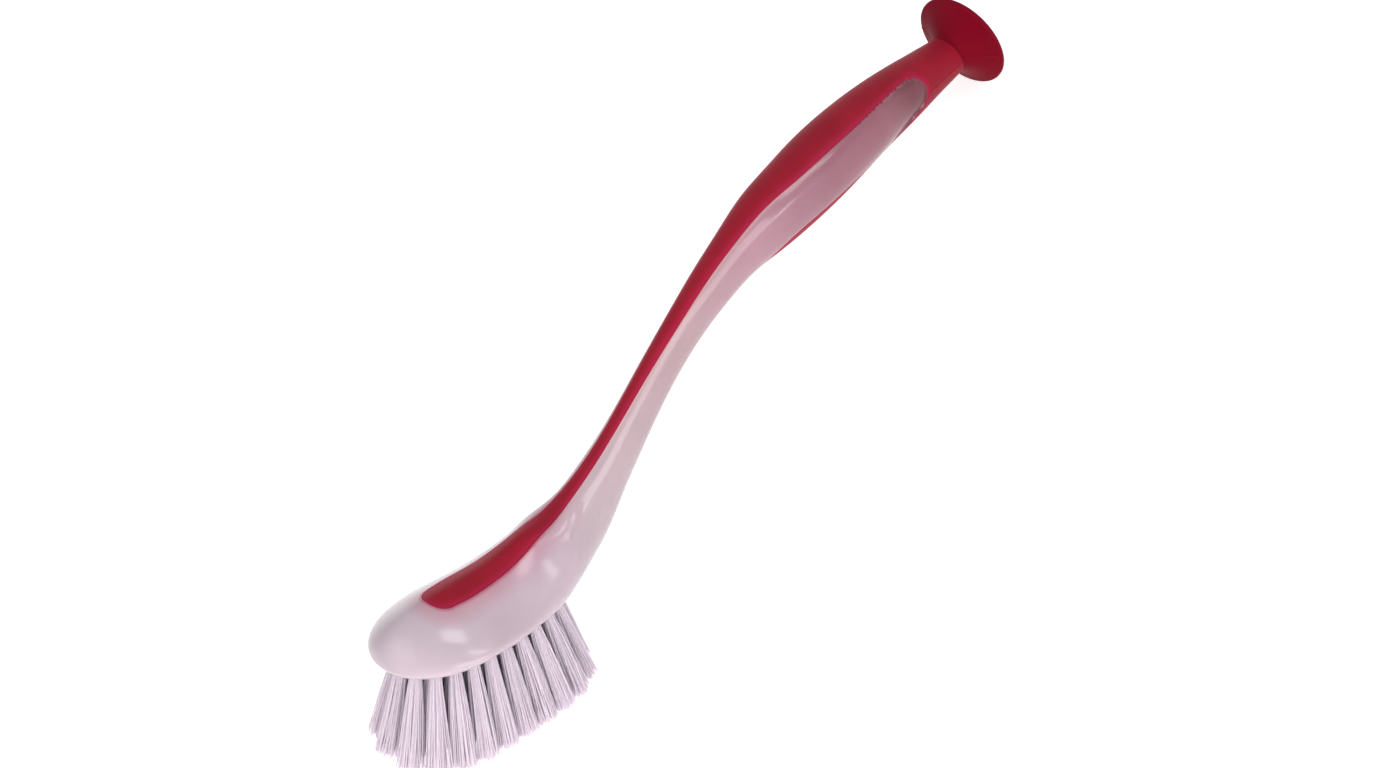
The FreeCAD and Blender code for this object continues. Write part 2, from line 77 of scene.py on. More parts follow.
# Soft second shot
SKIN_DEPTH = 1.8
INLAY_START = 18.2
INLAY_LENGTH = 45.7
INLAY_NOSE_LENGTH = 5.9
INLAY_WIDTH = 12.2
INLAY_WAIST = 4.6
INLAY_GRIP_WIDTH = 14.6
WINDOW_RADIUS = 6.5
WINDOW_OFFSET = 2.2
SEAM_ROUND = 0.32
SEAM_LEVELS = (-2.4, -1.2, -0.7, -0.32, -0.16, -0.05, 0.0, 0.05, 0.16, 0.32)
WINDOW_SINK = 0.8
INLAY_RECESS = 0.22
INLAY_RECESS_SHARES = (0.1, 0.45)
WINDOW_SINK_START = 0.76
WINDOW_SINK_RISE = 0.09
WINDOW_SINK_EDGE = 0.7

# Flash on the window's upper edge: height, where it starts and ends along the reach, its teeth
FLASH_HEIGHT = 0.6
FLASH_START = 0.68
FLASH_RISE = 0.12
FLASH_END = 0.9
FLASH_FALL = 0.03
TOOTH_RATE = 1.7
TOOTH_POWER = 3
SWELL_RATE = 0.83
SWELL_START = 0.6
SWELL_LEAST = 0.4

# Suction cup
CUP_TILT = 20.0
CUP_DIAMETER = 33.2
CUP_DEPTH = 8.2
CUP_EDGE_HEIGHT = 1.6
CUP_EDGE_ROUND = 0.7
CUP_BACK_RADIUS = 24.0
RIM_WIDTH = 2.2
HOLLOW_DEPTH = 6.4
ROOT_WALL = 0.5
ROOT_CLEARANCE = 0.3
ROOT_SETBACK = 1.2
CUP_EDGE_DIP = 0.25
CUP_EDGE_RISE = 0.5
CUP_EDGE_ROUND_SHARE = 1.2
RIM_CHAMFER_WIDTH = 0.3
RIM_CHAMFER_DEPTH = 0.2
HOLLOW_ROUND_SHARE = 1.02
ROOT_STEPS = 10
BACK_STEPS = 18
EDGE_STEPS = 5
LIP_STEPS = 6
HOLLOW_STEPS = 16
CUP_SIDES = 112
CUP_SHARP_ANGLE = 50
SOCKET_RING_SHARES = (1.0, 0.8, 0.6, 0.4, 0.2)

# Parting line of the mould on collar and cup
PARTING_RIDGE = 0.2
PARTING_RIDGE_HALF_WIDTH = 0.022
COLLAR_RIDGE_TURN = 0.04
COLLAR_RIDGE_RISE = 2.0

# Soft neck between collar and cup: steps out from its radius, and places along the axis from the hinge
SLEEVE_END = 0.85
SLEEVE_INSET = 0.55
SLEEVE_OUTER = (
    (-0.02, -ROOT_SETBACK - 0.15),
    (0.0, -ROOT_SETBACK + 0.1),
    (0.0, -0.2),
    (0.02, SLEEVE_END * 0.6),
    (0.1, SLEEVE_END),
)
SLEEVE_INNER = (
    (-0.15, SLEEVE_END - 0.1),
    (-0.2, -0.2),
    (-0.2, -ROOT_SETBACK - 0.1),
)

# Bristles
HOLE_DIAMETER = 3.4
HOLE_SHOWN_DEPTH = 4.0
HOLE_SIDES = 24
TUFT_LENGTH = 31.8
TUFT_ROOT_RADIUS = 1.55
TUFT_TIP_RADIUS = 4.1
FILAMENT_RADIUS = 0.18
FILAMENT_COUNT = 140
FILAMENT_SIDES = 5
FILAMENT_STEPS = 5
FILAMENT_SHARP_ANGLE = 80
FILAMENT_START_SHARE = 0.8
FILAMENT_BOW = 0.25
CLUMP_COUNT = 5
CLUMP_SPREAD = 0.45
CLUMP_PULL = 0.22
TIP_SCATTER = 0.07
TRIM_SPREAD = 0.5
GOLDEN_ANGLE = math.pi * (3 - math.sqrt(5))
FAN_ALONG = 13.8
FAN_ACROSS = 13.8
FIELD_FRONT_MARGIN = 9.8
FIELD_HEEL_MARGIN = 8.1
FIELD_SIDE_MARGIN = 8.56
RING_INSET_ALONG = 6.0
RING_INSET_ACROSS = 5.5
TUFT_PITCH = 5.95
RING_CORNER_SHARE = 0.68
RING_STEPS = 720

# Fullness of a quarter of a section: 0.5523 is a quarter ellipse, less is leaner, more is squarer
ELLIPSE_FULL_SHARE = 0.5523
BELLY_FULL_SHARE = 0.59
CROWN_FULL_SHARE = 0.25
FLANK_FULL_SHARE = 0.13
NOSE_PLAN_POWER = 0.93
NOSE_CROWN_POWER = 0.76

# Head behind its widest place: shares of its length, of the crown height above the widest line,
# of its width, of the crown height and of the belly depth; then slope, crown and flank fullness
HEAD_SHARES = (
    (0.489, -0.03, 0.985, 1.032, 1.11, 2.0, 0.25, 0.13),
    (0.618, -0.02, 0.940, 1.046, 1.10, 6.0, 0.25, 0.13),
    (0.746, 0.06, 0.871, 1.080, 1.47, 12.0, 0.26, 0.15),
    (0.875, 0.26, 0.747, 1.052, 1.69, 20.0, 0.31, 0.23),
)

# Handle: shares of its reach and rise, slope, then shares of the width and depth that it follows
HANDLE_SHARES = (
    (0.000, 0.000, 30.0, NECK, 2.199, 1.625),
    (0.048, 0.046, 37.5, NECK, 1.586, 1.618),
    (0.095, 0.126, 44.4, NECK, 1.333, 1.342),
    (0.141, 0.211, 46.8, NECK, 1.157, 1.158),
    (0.230, 0.385, 44.6, NECK, 1.000, 1.000),
    (0.327, 0.546, 38.3, NECK, 1.098, 1.040),
    (0.381, 0.619, 33.4, NECK, 1.275, 1.130),
    (0.438, 0.683, 27.9, GRIP, 0.673, 0.754),
    (0.502, 0.738, 22.2, GRIP, 0.845, 0.900),
    (0.571, 0.783, 19.8, GRIP, 0.945, 0.969),
    (0.641, 0.830, 19.5, GRIP, 1.000, 1.000),
    (0.712, 0.875, 17.6, GRIP, 0.982, 0.969),
    (0.788, 0.916, 14.3, GRIP, 0.909, 0.892),
    (0.868, 0.949, 12.6, GRIP, 0.818, 0.785),
    (0.929, 0.973, 13.5, COLLAR, 1.150, 1.230),
    (1.000, 1.000, CUP_TILT, COLLAR, 1.000, 1.000),
)

# Top strip in plan: on the head, shares of its length behind the round front and of its width,
# then on the handle, shares of the reach and of the width that it follows there
INLAY_SHARES = (
    (0.000, 0.940),
    (0.123, 1.000),
    (0.250, 0.983),
    (0.400, 0.925),
    (0.545, 0.865),
    (0.693, 0.782),
    (0.843, 0.676),
    (1.000, 0.570),
)
STRIP_SHARES = (
    (0.037, INLAY_WAIST, 1.10),
    (0.152, INLAY_WAIST, 1.00),
    (0.286, INLAY_WAIST, 1.35),
    (0.393, INLAY_GRIP_WIDTH, 0.53),
    (0.522, INLAY_GRIP_WIDTH, 0.81),
    (0.685, INLAY_GRIP_WIDTH, 1.00),
    (0.776, INLAY_GRIP_WIDTH, 0.85),
    (0.859, INLAY_GRIP_WIDTH, 0.67),
    (0.900, INLAY_GRIP_WIDTH, 0.62),
)

# Upper edge of the bottom skin, seen from the side: shares of the reach and of the half depth
BOTTOM_EDGE_SHARES = (
    (0.360, -1.30),
    (0.430, -1.00),
    (0.475, -0.62),
    (0.505, -0.47),
    (0.550, -0.40),
    (0.610, -0.43),
    (0.680, -0.51),
    (0.740, -0.64),
    (0.800, -0.66),
    (0.845, -0.52),
    (0.868, -0.42),
)
WINDOW_END_SHARE = 0.858

# Rows of the nose and the handle's grid, and columns round a section
NOSE_RINGS = 40
RING_STEP = 0.8
COLUMNS = 128
FAR_OUTSIDE = -50.0
FORM_SHARP_ANGLE = 38
WELD_DISTANCE = 0.002
FACE_TOLERANCE = 0.01
TINY = 1e-9

# Where the plastic shows the red beside it on the head, and where a painted highlight runs beside the seam on the
# neck: shares of the head's length, then of the handle's reach
HEAD_GLOW_FULL = 0.8
HEAD_GLOW_FADE = 0.45
NECK_PAINTED_HIGHLIGHT_FULL = 0.52
NECK_PAINTED_HIGHLIGHT_END = 0.72
ALONG_LIMIT = 1.2

# Camera of the photograph, in the head's frame: a pinhole with the picture's focal length in pixels
PHOTO_WIDTH_PX = 1376
PHOTO_FOCAL_PX = 2433.6
SENSOR_WIDTH = 36.0
CAMERA_TARGET = (127.52, 0.185, 39.85)
CAMERA_DISTANCE = 754.5
CAMERA_AZIMUTH = -45.0
CAMERA_ELEVATION = 33.0
CAMERA_ROLL = -1.49
CAMERA_CLIP_START = 0.01


# Curves

def spline(knots, values, start_slope=None):
    """Cubic curve through rows of values; natural at its ends, or with a given slope at its start."""
    knots = np.asarray(knots, float)
    values = np.asarray(values, float)
    count = len(knots)
    step = np.diff(knots)
    rate = (np.diff(values, axis=0).T / step).T
    system = np.eye(count)
    target = np.zeros_like(values)
    for i in range(1, count - 1):
        system[i, i - 1:i + 2] = step[i - 1], 2 * (step[i - 1] + step[i]), step[i]
        target[i] = 6 * (rate[i] - rate[i - 1])
    if start_slope is not None:
        system[0, :2] = 2 * step[0], step[0]
        target[0] = 6 * (rate[0] - np.asarray(start_slope, float))
    bend = np.linalg.solve(system, target)

    def curve(place):
        place = np.clip(place, knots[0], knots[-1])
        i = np.clip(np.searchsorted(knots, place, side="right") - 1, 0, count - 2)
        width = step[i]
        after = (place - knots[i]) / width
        before = 1 - after
        if values.ndim > 1:
            width, after, before = (v[:, None] for v in (width, after, before))
        bent = (before ** 3 - before) * bend[i] + (after ** 3 - after) * bend[i + 1]
        return before * values[i] + after * values[i + 1] + bent * width ** 2 / 6

    return curve


def smooth_step(value):
    value = np.clip(value, 0, 1)
    return value * value * (3 - 2 * value)


# Stations of the form: columns of a row of the station table
X, Z, SLOPE, WIDE, RISE, DROP, TOP, SIDE, LOW = range(9)


def reached(share):
    """Place along X at a share of the handle's reach."""
    return HEAD_LENGTH + HANDLE_REACH * share


def nose_rows(turn):
    """Stations of the rounded nose, at angles of a quarter turn from the tip."""
    sine = np.clip(np.sin(turn), 0, 1)
    plan = sine ** NOSE_PLAN_POWER
    same = np.ones_like(turn)
    top = CROWN_FULL_SHARE + (ELLIPSE_FULL_SHARE - CROWN_FULL_SHARE) * (1 - plan)
    side = FLANK_FULL_SHARE + (ELLIPSE_FULL_SHARE - FLANK_FULL_SHARE) * (1 - plan)
    return np.stack([
        NOSE_LENGTH * (1 - np.cos(turn)), WIDEST_HEIGHT * same, 0 * same, HEAD_WIDTH / 2 * plan,
        CROWN_HEIGHT * sine ** NOSE_CROWN_POWER, BELLY_DEPTH * plan, top, side, BELLY_FULL_SHARE * same,
    ], axis=1)


def knot_rows():
    """Stations from the end of the nose to the end of the collar."""
    rows = [nose_rows(np.array([math.pi / 2]))[0]]
    for along, lift, width, crown, belly, slope, top, side in HEAD_SHARES:
        rows.append((HEAD_LENGTH * along, WIDEST_HEIGHT + CROWN_HEIGHT * lift, slope,
                     HEAD_WIDTH / 2 * width, CROWN_HEIGHT * crown, BELLY_DEPTH * belly,
                     top, side, BELLY_FULL_SHARE))
    for reach, rise, slope, (full_width, full_depth), width, depth in HANDLE_SHARES:
        rows.append((reached(reach), NECK_ROOT_HEIGHT + HANDLE_RISE * rise, slope,
                     full_width * width / 2, full_depth * depth / 2, full_depth * depth / 2,
                     ELLIPSE_FULL_SHARE, ELLIPSE_FULL_SHARE, ELLIPSE_FULL_SHARE))
    return np.array(rows, float)


KNOTS = knot_rows()
KNOT_PLACES = np.concatenate([[0], np.cumsum(np.hypot(*np.diff(KNOTS[:, [X, Z]], axis=0).T))])
NOSE_ARC = NOSE_LENGTH
PATH_END = KNOT_PLACES[-1]
CORE_END = KNOT_PLACES[-2]
station_curve = spline(KNOT_PLACES, KNOTS, start_slope=np.eye(9)[X])


def stations(place):
    """Station rows at places along the form: below zero on the nose, then by length of the spine."""
    rows = station_curve(place)
    on_nose = place < 0
    turn = np.clip(1 + place[on_nose] / NOSE_ARC, 0, 1) * math.pi / 2
    rows[on_nose] = nose_rows(turn)
    return rows


def form(place, turn):
    """Points of the outer form, their height in the section, and the station rows.

    A turn of 0 is the crown, 1 the widest line at +Y, 2 the bottom, 3 the widest line at -Y."""
    rows = stations(place)
    half = np.where(turn > 2, 4 - turn, turn)
    side = np.where(turn > 2, -1.0, 1.0)
    upper = half <= 1
    f = np.where(upper, half, half - 1)
    rising_full = np.where(upper, rows[:, TOP], rows[:, LOW])
    falling_full = np.where(upper, rows[:, SIDE], rows[:, LOW])
    rising = 3 * f * (1 - f) ** 2 * rising_full + 3 * f ** 2 * (1 - f) + f ** 3
    falling = (1 - f) ** 3 + 3 * f * (1 - f) ** 2 + 3 * f ** 2 * (1 - f) * falling_full
    across = side * rows[:, WIDE] * np.where(upper, rising, falling)
    up = np.where(upper, rows[:, RISE] * falling, -rows[:, DROP] * rising)
    slope = np.radians(rows[:, SLOPE])
    points = np.stack([rows[:, X] - up * np.sin(slope), across, rows[:, Z] + up * np.cos(slope)], axis=1)
    return points, up, rows


def form_normals(place, turn):
    """Outward normals of the form, from small steps along it and round it."""
    small = 0.01
    low = np.clip(place - small, -NOSE_ARC + small, None)
    along = form(np.clip(place + small, None, PATH_END), turn)[0] - form(low, turn)[0]
    round_it = form(place, (turn + small) % 4)[0] - form(place, (turn - small) % 4)[0]
    normal = np.cross(along, round_it)
    length = np.linalg.norm(normal, axis=1, keepdims=True)
    return np.where(length > 0, normal / np.maximum(length, TINY * small), (-1.0, 0.0, 0.0))


# Zones of the soft second shot

def strip_curve():
    start = INLAY_START + INLAY_NOSE_LENGTH
    points = [(start + (INLAY_LENGTH - INLAY_NOSE_LENGTH) * along, INLAY_WIDTH * width / 2)
              for along, width in INLAY_SHARES]
    points += [(reached(share), full * width / 2) for share, full, width in STRIP_SHARES]
    return spline(*zip(*points))


strip_half = strip_curve()
bottom_edge = spline(*zip(*BOTTOM_EDGE_SHARES))


def spine_place(share):
    """Place along the spine at a share of the handle's reach."""
    return np.interp(reached(share), KNOTS[:, X], KNOT_PLACES)


def window_frame():
    """Middle of the window's round rear end, and the handle's slope there."""
    row = stations(np.array([spine_place(WINDOW_END_SHARE)]))[0]
    slope = math.radians(row[SLOPE])
    middle = (row[X] - WINDOW_OFFSET * math.sin(slope), row[Z] + WINDOW_OFFSET * math.cos(slope))
    return middle, slope


WINDOW_MIDDLE, WINDOW_SLOPE = window_frame()


def soft_reach(place, turn):
    """How far inside the soft zones a point of the form lies; below zero on the hard plastic."""
    points, up, rows = form(place, turn)
    x, y, z = points[:, 0], np.abs(points[:, 1]), points[:, 2]
    start = INLAY_START + INLAY_NOSE_LENGTH
    half = INLAY_WIDTH * INLAY_SHARES[0][1] / 2
    radius = (half ** 2 + INLAY_NOSE_LENGTH ** 2) / (2 * INLAY_NOSE_LENGTH)
    front = radius - np.hypot(x - INLAY_START - radius, y)
    top = np.where(x < start, front, strip_half(x) - y)
    top = np.where((up > 0) & (x < reached(STRIP_SHARES[-1][0])), top, FAR_OUTSIDE)

    share = (rows[:, X] - HEAD_LENGTH) / HANDLE_REACH
    bottom = bottom_edge(share) * rows[:, RISE] - up
    bottom = np.where(share > BOTTOM_EDGE_SHARES[0][0], bottom, FAR_OUTSIDE)

    dx, dz = x - WINDOW_MIDDLE[0], z - WINDOW_MIDDLE[1]
    along = dx * math.cos(WINDOW_SLOPE) + dz * math.sin(WINDOW_SLOPE)
    above = dz * math.cos(WINDOW_SLOPE) - dx * math.sin(WINDOW_SLOPE)
    behind = np.hypot(along, above) - WINDOW_RADIUS
    before = np.abs(above) - WINDOW_RADIUS + along
    collar = np.where(along > 0, behind, before)

    # Thin flash that crept over the window's upper edge, towards its rear end
    late = np.clip((share - FLASH_START) / FLASH_RISE, 0, 1)
    late = late * np.clip((FLASH_END - share) / FLASH_FALL, 0, 1) * (up > 0)
    swell = SWELL_LEAST + np.abs(np.sin(x * SWELL_RATE + SWELL_START))
    teeth = np.abs(np.sin(x * TOOTH_RATE)) ** TOOTH_POWER * swell
    return np.maximum(np.maximum(top, bottom), collar) + FLASH_HEIGHT * late * teeth


# Meshes

def lay_down():
    """Matrix from the head's frame in millimetres to the row frame in metres, read from the frame."""
    joint = frame["joints"][0]
    axis = frame["record"]["mounts"][0]["axis"]
    tilt = math.radians(CUP_TILT)
    turn = Matrix.Rotation(tilt - math.atan2(axis[2], axis[0]), 4, "Y")
    hinge = Vector((KNOTS[-1, X] + ROOT_SETBACK * math.cos(tilt), 0,
                    KNOTS[-1, Z] + ROOT_SETBACK * math.sin(tilt)))
    scaled = turn @ Matrix.Scale(MM, 4)
    return Matrix.Translation(Vector(joint["pos_m"]) - scaled @ hinge) @ scaled, hinge


TO_ROW, HINGE = lay_down()
CUP_AXIS = Vector((math.cos(math.radians(CUP_TILT)), 0, math.sin(math.radians(CUP_TILT))))
CUP_UP = Vector((-CUP_AXIS.z, 0, CUP_AXIS.x))
CUP_SIDE = Vector((0, 1, 0))


def finish_mesh(name, work, material, sharp_angle):
    """A mesh object of the row frame from a working mesh in the head's frame."""
    bmesh.ops.transform(work, matrix=TO_ROW, verts=work.verts)
    bmesh.ops.remove_doubles(work, verts=work.verts, dist=WELD_DISTANCE * MM)
    loose = [v for v in work.verts if not v.link_faces]
    bmesh.ops.delete(work, geom=loose, context="VERTS")
    bmesh.ops.recalc_face_normals(work, faces=work.faces)
    mesh = bpy.data.meshes.new(name)
    work.to_mesh(mesh)
    work.free()
    mesh.shade_smooth()
    mesh.set_sharp_from_angle(angle=math.radians(sharp_angle))
    mesh.materials.append(material)
    piece = bpy.data.objects.new(name, mesh)
    bpy.context.scene.collection.objects.link(piece)
    return piece


def working_mesh(points, faces, values=None):
    """A bmesh from points and faces, with named numbers kept at its points."""
    work = bmesh.new()
    layers = {name: work.verts.layers.float.new(name) for name in (values or {})}
    verts = [work.verts.new(point) for point in points]
    for name, layer in layers.items():
        for vert, value in zip(verts, values[name]):
            vert[layer] = value
    for face in faces:
        corners = list(dict.fromkeys(face))
        if len(corners) > 2:
            work.faces.new([verts[i] for i in corners])
    return work


def split(places, polygons, values, level):
    """Cut polygons along a level of a value that is known at their corners."""
    made = {}

    def crossing(a, b):
        key = (a, b) if a < b else (b, a)
        if key not in made:
            share = (level - values[a]) / (values[b] - values[a])
            places.append(tuple(p + (q - p) * share for p, q in zip(places[a], places[b])))
            values.append(level)
            made[key] = len(places) - 1
        return made[key]

    result = []
    for polygon in polygons:
        over = [values[i] > level for i in polygon]
        under = [values[i] < level for i in polygon]
        if not (any(over) and any(under)):
            result.append(polygon)
            continue
        above, below = [], []
        for k, a in enumerate(polygon):
            b = polygon[(k + 1) % len(polygon)]
            if values[a] >= level:
                above.append(a)
            if values[a] <= level:
                below.append(a)
            if (values[a] - level) * (values[b] - level) < 0:
                cut = crossing(a, b)
                above.append(cut)
                below.append(cut)
        result += [above, below]
    return result


class FormGrid:
    """The outer form as polygons that follow the edges of the soft zones and of the bristle face."""

    def __init__(self):
        nose = np.linspace(-NOSE_ARC, 0, NOSE_RINGS + 1)
        core = np.linspace(0, CORE_END, round(CORE_END / RING_STEP) + 1)[1:]
        collar = np.linspace(CORE_END, PATH_END, round((PATH_END - CORE_END) / RING_STEP) + 1)[1:]
        rings = np.concatenate([nose, core, collar])
        turns = np.linspace(0, 4, COLUMNS + 1)
        wide = len(turns)
        self.places = [(ring, turn) for ring in rings for turn in turns]
        self.polygons = []
        for i in range(len(rings) - 1):
            for j in range(COLUMNS):
                a = i * wide + j
                self.polygons.append([a, a + wide, a + wide + 1, a + 1])
        self.end_ring = [(len(rings) - 1) * wide + j for j in range(COLUMNS)]
        self.core_ring = [(NOSE_RINGS + len(core)) * wide + j for j in range(COLUMNS)]
        self.reach = list(soft_reach(*self.columns()))
        for level in SEAM_LEVELS:
            self.polygons = split(self.places, self.polygons, self.reach, level)
        height = list(form(*self.columns())[0][:, 2])
        before = len(self.places)
        self.polygons = split(self.places, self.polygons, height, 0.0)
        self.height = np.array(height)
        self.reach += list(soft_reach(*self.columns())[before:])
        self.reach = np.array(self.reach)
        self.points, self.up, self.rows = form(*self.columns())
        self.points[np.arange(len(self.points)) >= before, 2] = 0.0
        self.normals = form_normals(*self.columns())

    def columns(self):
        table = np.array(self.places)
        return table[:, 0], table[:, 1]

    def is_soft(self, polygon):
        return self.reach[polygon].mean() > 0

    def is_below_face(self, polygon):
        return self.height[polygon].mean() < 0

    def before_core_end(self, polygon):
        return max(self.places[i][0] for i in polygon) <= CORE_END

    def seam_drop(self):
        """Rounding of both materials down into the seam between them."""
        gap = np.clip(SEAM_ROUND - np.abs(self.reach), 0, SEAM_ROUND)
        return SEAM_ROUND - np.sqrt(SEAM_ROUND ** 2 - gap ** 2)

    def recess(self):
        """Depth by which the soft strip lies below the plastic on the head and the neck."""
        full, gone = (reached(share) for share in INLAY_RECESS_SHARES)
        return INLAY_RECESS * np.clip((gone - self.rows[:, X]) / (gone - full), 0, 1)

    def sink(self):
        """Depth by which the plastic lies below the soft skins at the window's rear end."""
        share = (self.rows[:, X] - HEAD_LENGTH) / HANDLE_REACH
        late = smooth_step((share - WINDOW_SINK_START) / WINDOW_SINK_RISE)
        return WINDOW_SINK * late * smooth_step(-self.reach / WINDOW_SINK_EDGE)

    def ridge(self):
        """Height of the thin parting lines along both sides of the collar."""
        place, turn = self.columns()
        beside = np.abs((turn - 1) % 2 - 1)
        near = smooth_step((beside - (1 - COLLAR_RIDGE_TURN)) / COLLAR_RIDGE_TURN)
        start = spine_place(WINDOW_END_SHARE) + WINDOW_RADIUS
        return PARTING_RIDGE * near * smooth_step((place - start) / COLLAR_RIDGE_RISE)


def shell_points(grid, depth):
    return grid.points - grid.normals * np.asarray(depth).reshape(-1, 1)


def build_body(grid, material):
    """Hard plastic: its own outside, the bed under the soft skin, and the bristle face with its holes."""
    soft = [p for p in grid.polygons if grid.is_soft(p)]
    hard = [p for p in grid.polygons if not grid.is_soft(p) and not grid.is_below_face(p)]
    bed = [p for p in soft if grid.before_core_end(p)]
    outside = shell_points(grid, grid.seam_drop() + grid.sink())
    inside = shell_points(grid, np.full(len(grid.points), SKIN_DEPTH))
    outside[np.abs(grid.height) < TINY, 2] = 0.0
    count = len(outside)
    faces = list(hard) + [[i + count for i in p] for p in bed]
    rim = seam_edges(hard, bed)
    faces += [[a, b, b + count, a + count] for a, b in rim]
    faces.append([i + count for i in grid.core_ring])
    x = grid.rows[:, X]
    share = (x / reached(WINDOW_END_SHARE)).clip(0, ALONG_LIMIT)
    away = np.maximum(-grid.reach, 0)
    on_head = 1 - smooth_step((x - HEAD_LENGTH * HEAD_GLOW_FULL) / (HEAD_LENGTH * HEAD_GLOW_FADE))
    # on_neck places the painted highlight beside the seam, along the neck to the grip's start
    neck_fade = reached(NECK_PAINTED_HIGHLIGHT_END) - reached(NECK_PAINTED_HIGHLIGHT_FULL)
    before_grip = 1 - smooth_step((x - reached(NECK_PAINTED_HIGHLIGHT_FULL)) / neck_fade)
    on_neck = (1 - on_head) * before_grip
    values = {
        "along": np.tile(share, 2),
        "from_seam": np.tile(away, 2),
        "on_head": np.tile(on_head, 2),
        "on_neck": np.tile(on_neck, 2),
    }
    work = working_mesh(np.concatenate([outside, inside]), faces, values)
    open_bristle_face(work)
    piece = finish_mesh("handle_body", work, material, FORM_SHARP_ANGLE)
    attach(piece, "brush")
    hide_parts("body")
    return piece


def seam_edges(hard, bed):
    """Edges between the hard outside and the bed of the soft skin."""
    hard_edges = set()
    for polygon in hard:
        for k, a in enumerate(polygon):
            hard_edges.add((polygon[(k + 1) % len(polygon)], a))
    edges = []
    for polygon in bed:
        for k, a in enumerate(polygon):
            b = polygon[(k + 1) % len(polygon)]
            if (a, b) in hard_edges:
                edges.append((a, b))
    return edges


def open_bristle_face(work):
    """Close the underside with a flat face that has a blind hole for every tuft."""
    bmesh.ops.remove_doubles(work, verts=work.verts, dist=WELD_DISTANCE)
    border = [e for e in work.edges
              if e.is_boundary and max(abs(v.co.z) for v in e.verts) < FACE_TOLERANCE]
    for edge in border:
        for vert in edge.verts:
            vert.co.z = 0.0
    circles = []
    radius = HOLE_DIAMETER / 2
    along = work.verts.layers.float["along"]
    seam = work.verts.layers.float["from_seam"]
    for (x, y), direction in zip(FIELD, TUFT_DIRECTIONS):
        ring, bottom = [], []
        for k in range(HOLE_SIDES):
            angle = 2 * math.pi * k / HOLE_SIDES
            rim = Vector((x + radius * math.cos(angle), y + radius * math.sin(angle), 0))
            ring.append(work.verts.new(rim))
            bottom.append(work.verts.new(rim - direction * HOLE_SHOWN_DEPTH))
        for vert in ring + bottom:
            vert[along] = x / reached(WINDOW_END_SHARE)
            vert[seam] = HEAD_WIDTH
        for k in range(HOLE_SIDES):
            after = (k + 1) % HOLE_SIDES
            work.faces.new((ring[k], ring[after], bottom[after], bottom[k]))
            circles.append(work.edges.get((ring[k], ring[after])))
        work.faces.new(bottom)
    bmesh.ops.triangle_fill(work, edges=border + circles, use_beauty=True, normal=(0, 0, -1))


def build_grip(grid, material):
    """Soft second shot: strip, skins and collar as one closed piece, with the cup's socket in its end."""
    soft = [p for p in grid.polygons if grid.is_soft(p)]
    bed = [p for p in soft if grid.before_core_end(p)]
    hard = [p for p in grid.polygons if not grid.is_soft(p)]
    outside = shell_points(grid, grid.seam_drop() + grid.recess() - grid.ridge())
    inside = shell_points(grid, np.full(len(grid.points), SKIN_DEPTH))
    count = len(outside)
    faces = list(soft) + [[i + count for i in reversed(p)] for p in bed]
    faces += [[b, a, a + count, b + count] for a, b in seam_edges(hard, bed)]
    faces.append([i + count for i in reversed(grid.core_ring)])
    points = [tuple(p) for p in outside] + [tuple(p) for p in inside]
    share = grid.rows[:, X] / reached(1.0)
    values = {"along": list(share) + list(share), "from_seam": list(grid.reach) + list(grid.reach)}
    add_socket(grid, points, faces, values)
    work = working_mesh(points, faces, values)
    piece = finish_mesh("soft_grip_skin", work, material, FORM_SHARP_ANGLE)
    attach(piece, "brush")
    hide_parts("soft_grip")
    return piece


def add_socket(grid, points, faces, values):
    """Close the collar's end with the round socket of the cup's root."""
    radius = COLLAR[0] / 2
    ball = radius - ROOT_WALL
    middle = Vector((KNOTS[-1, X], 0, KNOTS[-1, Z]))
    mouth = math.acos(ROOT_SETBACK / ball)
    rings = [(ball * math.sin(mouth * f), ROOT_SETBACK - ball * math.cos(mouth * f))
             for f in SOCKET_RING_SHARES]
    before = list(grid.end_ring)
    for across, along in rings:
        ring = []
        for i in grid.end_ring:
            spread = (Vector(points[i]) - middle) * (across / radius)
            ring.append(len(points))
            points.append(tuple(middle + spread + CUP_AXIS * along))
            values["along"].append(1.0)
            values["from_seam"].append(SKIN_DEPTH)
        for k in range(len(ring)):
            after = (k + 1) % len(ring)
            faces.append([before[k], ring[k], ring[after], before[after]])
        before = ring
    faces.append(before)


# Bristle field

def ring_points(length, width):
    """Evenly spaced points round an oval ring; two of them straddle its rear end."""
    outline = []
    for step in range(RING_STEPS + 1):
        turn = 2 * math.pi * step / RING_STEPS
        along, across = math.cos(turn), math.sin(turn)
        along = math.copysign(abs(along) ** RING_CORNER_SHARE, along)
        across = math.copysign(abs(across) ** RING_CORNER_SHARE, across)
        outline.append((length / 2 * along, width / 2 * across))
    runs = [0.0]
    for near, far in zip(outline, outline[1:]):
        runs.append(runs[-1] + math.dist(near, far))
    count = round(runs[-1] / TUFT_PITCH)
    points = []
    step = 0
    for number in range(count):
        distance = runs[-1] * (number + 0.5) / count
        while runs[step + 1] < distance:
            step += 1
        part = (distance - runs[step]) / (runs[step + 1] - runs[step])
        near, far = outline[step], outline[step + 1]
        points.append((near[0] + (far[0] - near[0]) * part, near[1] + (far[1] - near[1]) * part))
    return points


def row_points(length):
    steps = round(length / TUFT_PITCH)
    return [(length * (number / steps - 0.5), 0.0) for number in range(steps + 1)]


